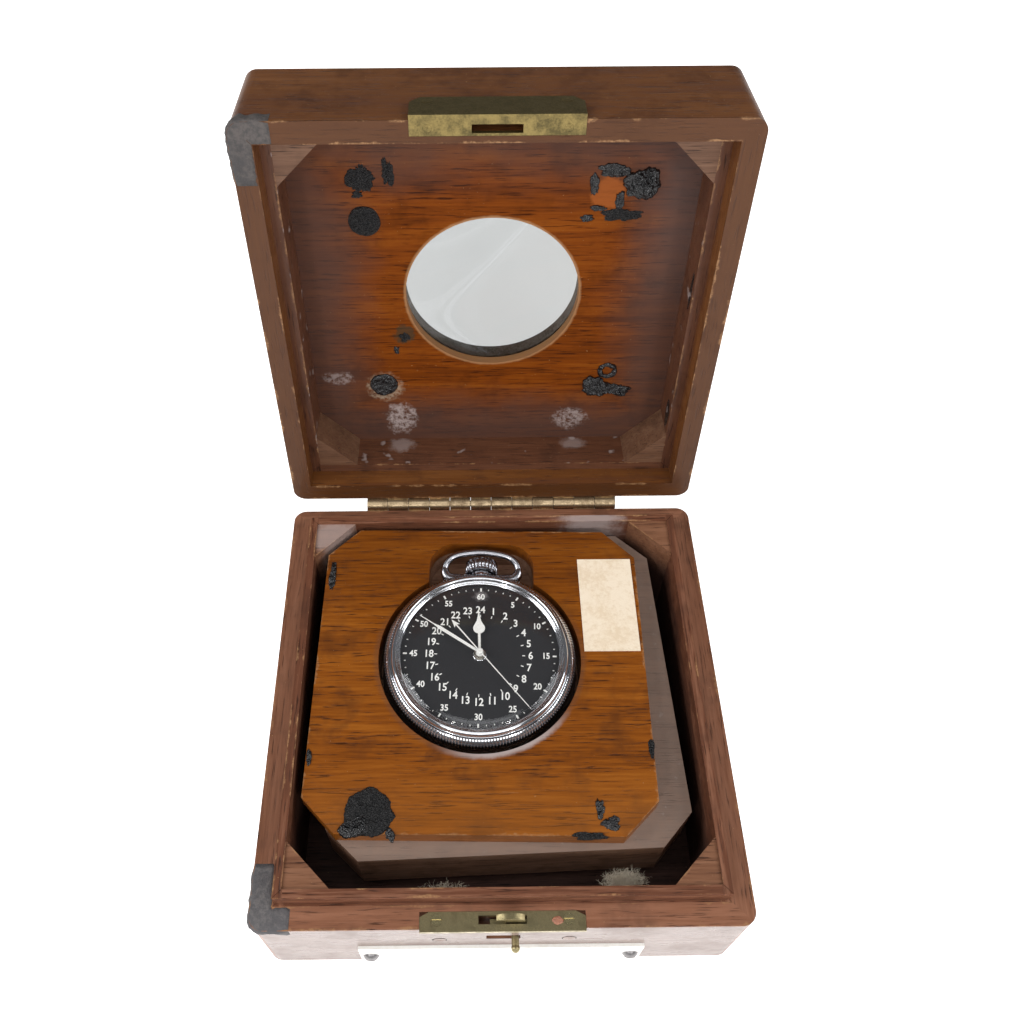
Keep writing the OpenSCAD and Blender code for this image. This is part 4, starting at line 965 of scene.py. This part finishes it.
def hand(name, node, body, degrees, outlines, hub):
    low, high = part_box(node)
    z, top = 0.0, (high.z - low.z) / MM
    points, faces = [], []
    for outline in outlines + [ring_points(hub, 32)]:
        p, f = slab(outline, z, top - 0.02 * (outline is not outlines[0]), 0.04)
        faces += [tuple(i + len(points) for i in face) for face in f]
        points += p
    place = watch_at @ Matrix.Translation((0, 0, low.z + hand_lift)) @ Matrix.Rotation(-radians(degrees), 4, "Z")
    return piece(name, points, faces, body, "hand_white", hand_white, place, smooth=False, replaces=(node,))


belly = [(1.6 * cos(a), 7.4 + 1.6 * sin(a)) for a in [radians(-78 + 118 * i / 14) for i in range(15)]]
spade = belly + [(0.62, 9.6), (0.26, 11.2), (0.10, 13.2), (0, 13.5)]
spade += [(-x, y) for x, y in spade[-2::-1]]
stem = [(0.34, 0.6), (0.36, 6.0), (-0.36, 6.0), (-0.34, 0.6)]
hand("hour_spade", "hour_hand", "hour", -2.4, [spade, stem], 1.0)
bar = [(0.34, 1.4), (0.46, 13.0), (0.30, 13.9), (0.12, 15.0), (0.09, 19.6), (-0.09, 19.6), (-0.12, 15.0),
       (-0.30, 13.9), (-0.46, 13.0), (-0.34, 1.4)]
hand("minute_bar", "minute_hand", "minute", 303, [bar, [(0.3, 0), (0.3, 1.6), (-0.3, 1.6), (-0.3, 0)]], 0.95)
needle = [(0.16, -10.2), (0.08, 20.1), (-0.08, 20.1), (-0.16, -10.2)]
arrow = [(0, -12.1), (0.85, -9.7), (0.2, -10.1), (-0.2, -10.1), (-0.85, -9.7)]
hand("seconds_needle", "second_hand", "seconds", 140, [needle, arrow], 0.85)
points, faces = turned([(1e-4, 0), (0.92, 0), (0.88, 0.2), (0.6, 0.36), (1e-4, 0.42)], 48)
piece("seconds_cap", points, faces, "seconds", "hand_white", hand_white,
      watch_at @ Matrix.Translation((0, 0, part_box("second_hand")[1].z + hand_lift - 0.05 * MM)))
points, faces = turned([(0.75, 0), (0.75, 1.35), (0.45, 1.35), (0.45, 0)], 40)
piece("hour_pipe", points, faces, "hour", "steel", chrome_finish,
      watch_at @ Matrix.Translation((0, 0, dial_top - 0.02 * MM)))
points, faces = turned([(1.35, 0), (1.35, 0.25), (1.75, 0.25), (1.85, 0.1), (1.85, 0)], 64)
piece("dial_collar", points, faces, "watch", "steel", chrome_finish,
      watch_at @ Matrix.Translation((0, 0, dial_top - 0.02 * MM)))

# %% [markdown]
# ## Perished sponge
# Sponge pads once held the holder still. They have turned to tar: some are glossy puddles, some still show a round
# outline, and one is a hollow ring. Each is a closed mesh over a polar grid, with a ragged outline and a surface
# raised by noise. Tar that has run is glossy; what is left of the sponge is dull and crumbly.

# %% Tar
def tar_finish(name, rough, grain, dull):
    f = Finish(name, Specular_IOR_Level=0.45)
    p = f.place()
    crumb = f.node("TexVoronoi", {"feature": "F1"}, {"Vector": p, "Scale": grain})
    fine = f.cloud(p, grain * 1.7, 4.0, 0.7)
    colour = f.mix(f.step(fine, 0.48, 0.72), (0.007, 0.007, 0.008), dull)
    f.shader.inputs["Coat Weight"].default_value = 0.30 if rough < 0.4 else 0.0
    f.shader.inputs["Coat Roughness"].default_value = 0.06
    depth = 0.0009 if rough > 0.4 else 0.0006
    return f.put(Base_Color=colour, Roughness=rough + fine * 0.2, Normal=f.bump(crumb + fine * 0.7, 1.0, depth))


wet_tar = tar_finish("wet_tar", 0.06, 0.75, (0.012, 0.012, 0.012))
dry_tar = tar_finish("dry_tar", 0.50, 1.9, (0.060, 0.056, 0.053))


def puddle(name, at, size, height, seed, body, material, place, ragged=0.25, hollow=0.0, steps=96, rows=18):
    """A low heap on z = 0, wider or narrower with its angle; hollow sinks its middle."""
    points, faces = [(at[0], at[1], -0.05)], []
    for row in range(rows + 1):
        t = row / rows
        for i in range(steps):
            a = 2 * pi * i / steps
            wobble = 1 + ragged * (noise.noise(Vector((cos(a) * 1.1 + seed, sin(a) * 1.1, seed * 0.7))) * 1.1
                                   + 0.45 * noise.noise(Vector((cos(a) * 3.4, sin(a) * 3.4, seed)))
                                   + 0.25 * noise.noise(Vector((cos(a) * 9, sin(a) * 9, seed))))
            x, y = at[0] + size[0] * wobble * t * cos(a), at[1] + size[1] * wobble * t * sin(a)
            lump = 0.75 + 0.55 * noise.noise(Vector((x * 0.8, y * 0.8, seed))) + 0.40 * noise.noise(
                Vector((x * 2.1, y * 2.1, seed + 4))) + 0.25 * noise.noise(Vector((x * 4.6, y * 4.6, seed + 9)))
            rim = (1 - t ** 4) ** 0.5
            dip = 1 - hollow * max(0.0, 1 - (t / 0.62) ** 2)
            points.append((x, y, max(height * lump * rim * dip, 0.04 * rim) - 0.03 * (row == rows)))
    for i in range(steps):
        j = (i + 1) % steps
        for row in range(rows):
            a, b = 1 + row * steps, 1 + (row + 1) * steps
            faces.append((a + i, b + i, b + j, a + j))
        faces.append((0, 1 + rows * steps + j, 1 + rows * steps + i))
    # the first row is one point: its doubles are merged when the piece is settled
    return piece(name, points, faces, body, "sponge", material, place)


def lumpy_ring(name, at, radius, thick, seed, body, material, place, steps=72, sides=14):
    """A bead of tar that runs round in a loop."""
    points, faces = [], []
    for i in range(steps):
        a = 2 * pi * i / steps
        fat = thick * (1 + 0.5 * noise.noise(Vector((cos(a) * 2, sin(a) * 2, seed))))
        far = radius * (1 + 0.22 * noise.noise(Vector((cos(a) * 1.2, sin(a) * 1.2, seed + 5))))
        for k in range(sides):
            b = 2 * pi * k / sides
            r = far + fat * cos(b)
            points.append((at[0] + r * cos(a), at[1] + r * sin(a), fat * 0.75 * sin(b) + 0.1))
    for i in range(steps):
        for k in range(sides):
            j, m = (i + 1) % steps, (k + 1) % sides
            faces.append((i * sides + k, j * sides + k, j * sides + m, i * sides + m))
    return piece(name, points, faces, body, "sponge", material, place)


board_place = Matrix.Translation((0, 0, board_top))
under_panel = lid_open @ Matrix.Translation((0, 0, panel_z)) @ Matrix.Rotation(pi, 4, "Y")
# turning about Y puts -x where x was, so the lid's places are written with x reversed
lid_tar = [
    ("tar_lid_irregular", (32.4, -36.4), (3.2, 3.8), 0.45, 1.0, dry_tar, 0.55, 0.4),
    ("tar_lid_irregular_side", (25.9, -36.6), (1.2, 3.6), 0.4, 2.0, dry_tar, 0.7, 0.0),
    ("tar_lid_irregular_foot", (33.6, -31.4), (1.3, 1.1), 0.3, 13.0, dry_tar, 0.7, 0.0),
    ("tar_lid_round", (32.6, -24.0), (4.1, 4.3), 0.8, 3.0, dry_tar, 0.04, 0.0),
    ("tar_lid_hollow", (31.1, 29.4), (4.0, 4.0), 0.9, 4.0, wet_tar, 0.12, 0.8),
    ("tar_lid_glossy", (-36.6, -34.2), (4.6, 4.6), 1.5, 5.0, wet_tar, 0.28, 0.0),
    ("tar_lid_arc_top", (-29.4, -37.2), (3.6, 1.7), 0.7, 6.0, wet_tar, 0.5, 0.0),
    ("tar_lid_arc_side", (-24.7, -33.8), (1.3, 2.6), 0.6, 14.0, wet_tar, 0.5, 0.0),
    ("tar_lid_arc_low", (-26.6, -27.2), (2.9, 0.9), 0.5, 15.0, wet_tar, 0.5, 0.0),
    ("tar_lid_arc_right", (-31.4, -29.0), (1.2, 2.4), 0.6, 16.0, wet_tar, 0.5, 0.0),
    ("tar_lid_smear", (-32.6, -25.2), (5.0, 1.7), 0.4, 7.0, dry_tar, 0.6, 0.0),
    ("tar_lid_smear_end", (-23.6, -24.4), (1.7, 0.9), 0.5, 17.0, wet_tar, 0.6, 0.0),
    ("tar_lid_blob", (-30.6, 30.4), (4.2, 3.6), 1.3, 8.0, wet_tar, 0.35, 0.0),
    ("tar_lid_blob_tail", (-36.8, 32.0), (4.2, 2.1), 0.8, 10.0, wet_tar, 0.4, 0.0),
    ("tar_lid_speck", (24.4, 12.0), (1.3, 1.6), 0.5, 11.0, dry_tar, 0.7, 0.0),
    ("tar_lid_speck_low", (26.6, 16.8), (0.9, 1.2), 0.4, 12.0, wet_tar, 0.6, 0.0),
]
lumpy_ring("tar_lid_blob_ring", (-33.4, 24.8), 2.1, 0.75, 9.0, "lid", wet_tar, under_panel)
for name, at, size, height, seed, finish, ragged, hollow in lid_tar:
    made = puddle(name, at, size, height, seed, "lid", finish, under_panel, ragged, hollow)
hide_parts("lid_pad_rests")
board_tar = [
    ("tar_board_large", (-32.0, -32.8), (6.4, 5.6), 1.0, 21.0, dry_tar, 0.20, 0.3),
    ("tar_board_large_wet", (-35.2, -36.2), (4.4, 2.6), 1.2, 22.0, wet_tar, 0.35, 0.0),
    ("tar_board_tail", (-26.4, -38.2), (1.2, 1.5), 0.5, 23.0, wet_tar, 0.5, 0.0),
    ("tar_board_small", (26.6, -36.0), (2.3, 1.8), 0.5, 24.0, wet_tar, 0.45, 0.0),
    ("tar_board_small_tail", (24.4, -32.6), (1.0, 2.4), 0.4, 25.0, wet_tar, 0.5, 0.0),
    ("tar_board_front", (21.6, -38.9), (4.2, 0.9), 0.5, 26.0, dry_tar, 0.4, 0.0),
    ("tar_board_left", (-45.4, 34.6), (1.0, 4.6), 0.6, 27.0, wet_tar, 0.35, 0.0),
    ("tar_board_left_low", (-47.6, -19.0), (0.7, 2.4), 0.5, 28.0, wet_tar, 0.4, 0.0),
    ("tar_board_right", (38.7, -17.5), (0.7, 2.6), 0.4, 29.0, dry_tar, 0.4, 0.0),
]
for name, at, size, height, seed, finish, ragged, hollow in board_tar:
    made = puddle(name, at, size, height, seed, "holder", finish, board_place, ragged, hollow)
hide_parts("holder_pad_rests")

# %% [markdown]
# ## Repairs and small hardware
# Grey filler was smeared over one corner of the base and the lid. It is a lumpy skin that follows the rim, wraps
# over the edge and thins out to nothing. Two plugs hide the catch's fixings in the front. The lid's plate has two
# rivets, and a drop of copper-coloured solder sits on the base plate.

# %% Filler on two corners
filler = speckled("grey_filler", (0.085, 0.080, 0.083), (0.150, 0.138, 0.134), 0.9, 0.7, 0.0005)

lid_filler = speckled("dark_filler", (0.040, 0.036, 0.036), (0.085, 0.072, 0.066), 0.9, 0.7, 0.0005)


def corner_skin(name, body, place, top, up, seed, material):
    """A skin over the front left corner of a rim at height top; up is the way the rim faces."""
    arc, reach_x, reach_y, wall, film = 3.5, 9.5, 15.0, 5.2, 0.085
    path = [(-half, -half + reach_y - (reach_y - arc) * i / 10) for i in range(10)]
    path += [(-half + arc - arc * cos(a), -half + arc - arc * sin(a)) for a in [pi / 2 * i / 9 for i in range(10)]]
    path += [(-half + arc + (reach_x - arc) * i / 7, -half) for i in range(1, 8)]
    section = [(1.0, 0.0), (0.8, 0.0), (0.55, 0.0), (0.3, 0.0), (0.08, 0.0), (0.0, 0.35), (0.0, 1.2), (0.0, 2.2),
               (0.0, 3.2)]
    count, wide = len(path), len(section)
    outer, inner = [], []
    for i, (px, py) in enumerate(path):
        qx, qy = max(px, -half + wall) if py < -half + wall else -half + wall, max(py, -half + wall)
        qx = -half + wall if px < -half + wall else qx
        cx, cy = max(px, -half + arc), max(py, -half + arc)
        far = hypot(px - cx, py - cy)
        ox, oy = ((px - cx) / far, (py - cy) / far) if far > 1e-6 else ((-1, 0) if px <= -half + 1e-6 else (0, -1))
        end = min(i, count - 1 - i) / 3
        for k, (t, down) in enumerate(section):
            frayed = 1 + 0.30 * noise.noise(Vector((px * 0.7, py * 0.7, seed + 20)))
            down *= 1 + 0.55 * noise.noise(Vector((px * 0.5, py * 0.5, seed + 30)))
            x, y = px + (qx - px) * min(t * frayed, 0.98), py + (qy - py) * min(t * frayed, 0.98)
            side = min(1.0, end) * min(1.0, (wide - 1 - k) / 2 + 0.12) * min(1.0, k / 1.5 + 0.3)
            thick = 0.05 + side * (0.40 + 0.42 * noise.noise(Vector((x * 0.9, y * 0.9, down + seed)))
                                   + 0.26 * noise.noise(Vector((x * 2.2, y * 2.2, down * 2 + seed))))
            lift, push = (min(thick, film), 0.0) if down == 0 else (0.0, thick)
            push += thick * 0.6 if 0 < t < 0.1 else 0
            outer.append((x + ox * push, y + oy * push, top + up * (lift - down)))
            inner.append((x - ox * 0.05, y - oy * 0.05, top + up * (-0.05 - down)))
    faces = []
    n = count * wide
    for i in range(count - 1):
        for k in range(wide - 1):
            a, b, c, d = i * wide + k, (i + 1) * wide + k, (i + 1) * wide + k + 1, i * wide + k + 1
            faces += [(a, b, c, d), (n + d, n + c, n + b, n + a)]
    edge = [i * wide for i in range(count)] + [(count - 1) * wide + k for k in range(1, wide)]
    edge += [i * wide + wide - 1 for i in range(count - 2, -1, -1)] + [k for k in range(wide - 2, 0, -1)]
    for a, b in zip(edge, edge[1:] + edge[:1]):
        faces.append((a, n + a, n + b, b))
    return piece(name, outer + inner, faces, body, "putty", material, place)


corner_skin("filler_base_corner", "base", Matrix(), rim_z, 1, 1.0, filler)
corner_skin("filler_lid_corner", "lid", lid_open, lid_rim, -1, 7.0, lid_filler)

# %% Plugs, rivets and the drop of solder
plug_wood = wood("plug_wood", (0.16, 0.10, 0.08), (0.30, 0.22, 0.19), (0.40, 0.31, 0.28), "x")


def button(radius, high, steps=40):
    return turned([(1e-4, -0.3), (radius, -0.3), (radius, high * 0.55), (radius * 0.86, high), (1e-4, high)], steps)


front = Matrix.Rotation(pi / 2, 4, "X")
for name, x, z in (("plug_left", -14.8, rim_z - 10.7), ("plug_right", 16.0, rim_z - 10.1)):
    at = Matrix.Translation(Vector((x, -half, z)) * MM) @ front
    points, faces = button(1.55, 0.10)
    piece(name, points, faces, "base", "mahogany", plug_wood, at)
    points, faces = turned([(1.55, -0.2), (1.55, 0.03), (1.75, 0.03), (1.75, -0.2)], 40)
    piece(name + "_ring", points, faces, "base", "sponge", dry_tar, at)
lid_brass = nodes["lid_catch_plate"].data.materials[0]
for name, x in (("rivet_left", -15.2), ("rivet_right", 15.5)):
    points, faces = button(0.95, 0.10)
    at = lid_open @ Matrix.Translation(Vector((x, -half + 1.9, lid_rim)) * MM) @ Matrix.Rotation(pi, 4, "X")
    piece(name, points, faces, "lid", "brass", lid_brass, at)
solder = speckled("copper_solder", (0.40, 0.17, 0.10), (0.26, 0.11, 0.07), 1.6, 0.3, 0.0003)
puddle("solder_drop", (12.7, -half + 1.7), (1.35, 1.0), 0.14, 40.0, "base", solder,
       Matrix.Translation((0, 0, rim_z * MM)), 0.15, 0.0, 32, 6)

# %% [markdown]
# ## Fluff
# Dust and felt fibres have gathered in the gap in front of the holder. A tuft is a node tree too: points are
# scattered through a low clump, each carries one thin bent hair, and the hairs are turned and scaled at random from
# a fixed seed.

# %% Tufts
def tuft(name, at, size, count, length, material, seed, lie=1.0):
    t = Tree(name, [("Hairs", "Int", count), ("Tuft Size", "Vector", (size[0] * MM, size[1] * MM, size[2] * MM)),
                    ("Hair Length", "Float", length * MM), ("Hair Radius", "Float", 0.035 * MM),
                    ("Seed", "Int", seed)])
    bend = t.node("ShaderNodeVectorMath", {0: (1, 0, 0), "Scale": t.given("Hair Length")}, operation="SCALE")
    peak = t.node("ShaderNodeVectorMath", {0: (0.5, 0.35, 0.25), "Scale": t.given("Hair Length")}, operation="SCALE")
    hair = t.node("GeometryNodeCurveQuadraticBezier", {"Resolution": 4, "Start": (0, 0, 0), "Middle": peak,
                                                       "End": bend})
    thick = t.node("GeometryNodeCurvePrimitiveCircle", {"Resolution": 3, "Radius": t.given("Hair Radius")})
    tube = t.node("GeometryNodeCurveToMesh", {"Curve": hair, "Profile Curve": thick, "Fill Caps": True})
    way = t.node("ShaderNodeVectorMath", {0: t.node("FunctionNodeRandomValue", {
        "Min": (-1, -1, -0.3), "Max": (1, 1, 1), "Seed": t.given("Seed")}, data_type="FLOAT_VECTOR")},
                 operation="NORMALIZE")
    out = t.node("FunctionNodeRandomValue", {2: 0.1, 3: 1.0, "Seed": seed + 3}, out=1, data_type="FLOAT")
    spot = t.node("ShaderNodeVectorMath", {0: way, "Scale": out}, operation="SCALE")
    cloud = t.node("GeometryNodePoints", {"Count": t.given("Hairs"), "Position": spot, "Radius": 0.001})
    gather = t.node("ShaderNodeVectorMath", {0: t.node("GeometryNodeInputPosition"), 1: t.given("Tuft Size")},
                    operation="MULTIPLY")
    placed = t.node("GeometryNodeSetPosition", {"Geometry": cloud, "Position": gather})
    spin = t.node("FunctionNodeRandomValue", {"Min": (-lie, -lie, -3.1), "Max": (lie, lie, 3.1), "Seed": seed + 1},
                  data_type="FLOAT_VECTOR")
    grow = t.node("FunctionNodeRandomValue", {2: 0.4, 3: 1.1, "Seed": seed + 2}, out=1, data_type="FLOAT")
    hairs = t.node("GeometryNodeInstanceOnPoints", {"Points": placed, "Instance": tube, "Rotation": spin,
                                                    "Scale": grow})
    t.finish(hairs, material)
    mesh = t.grow(name)
    mesh.transform(Matrix.Translation(Vector(at) * MM))
    return settle(mesh, name, "base", "felt", material, smooth=False)


fluff = speckled("fluff", (0.50, 0.43, 0.33), (0.72, 0.65, 0.52), 1.0, 0.9, 0.0001)
tuft("fluff_right", (30.5, -46.2, 21.0), (5.6, 2.8, 4.6), 2300, 1.9, fluff, 3)
tuft("fluff_left", (-13.0, -47.2, 18.0), (7.0, 1.8, 3.0), 520, 1.9, fluff, 9)
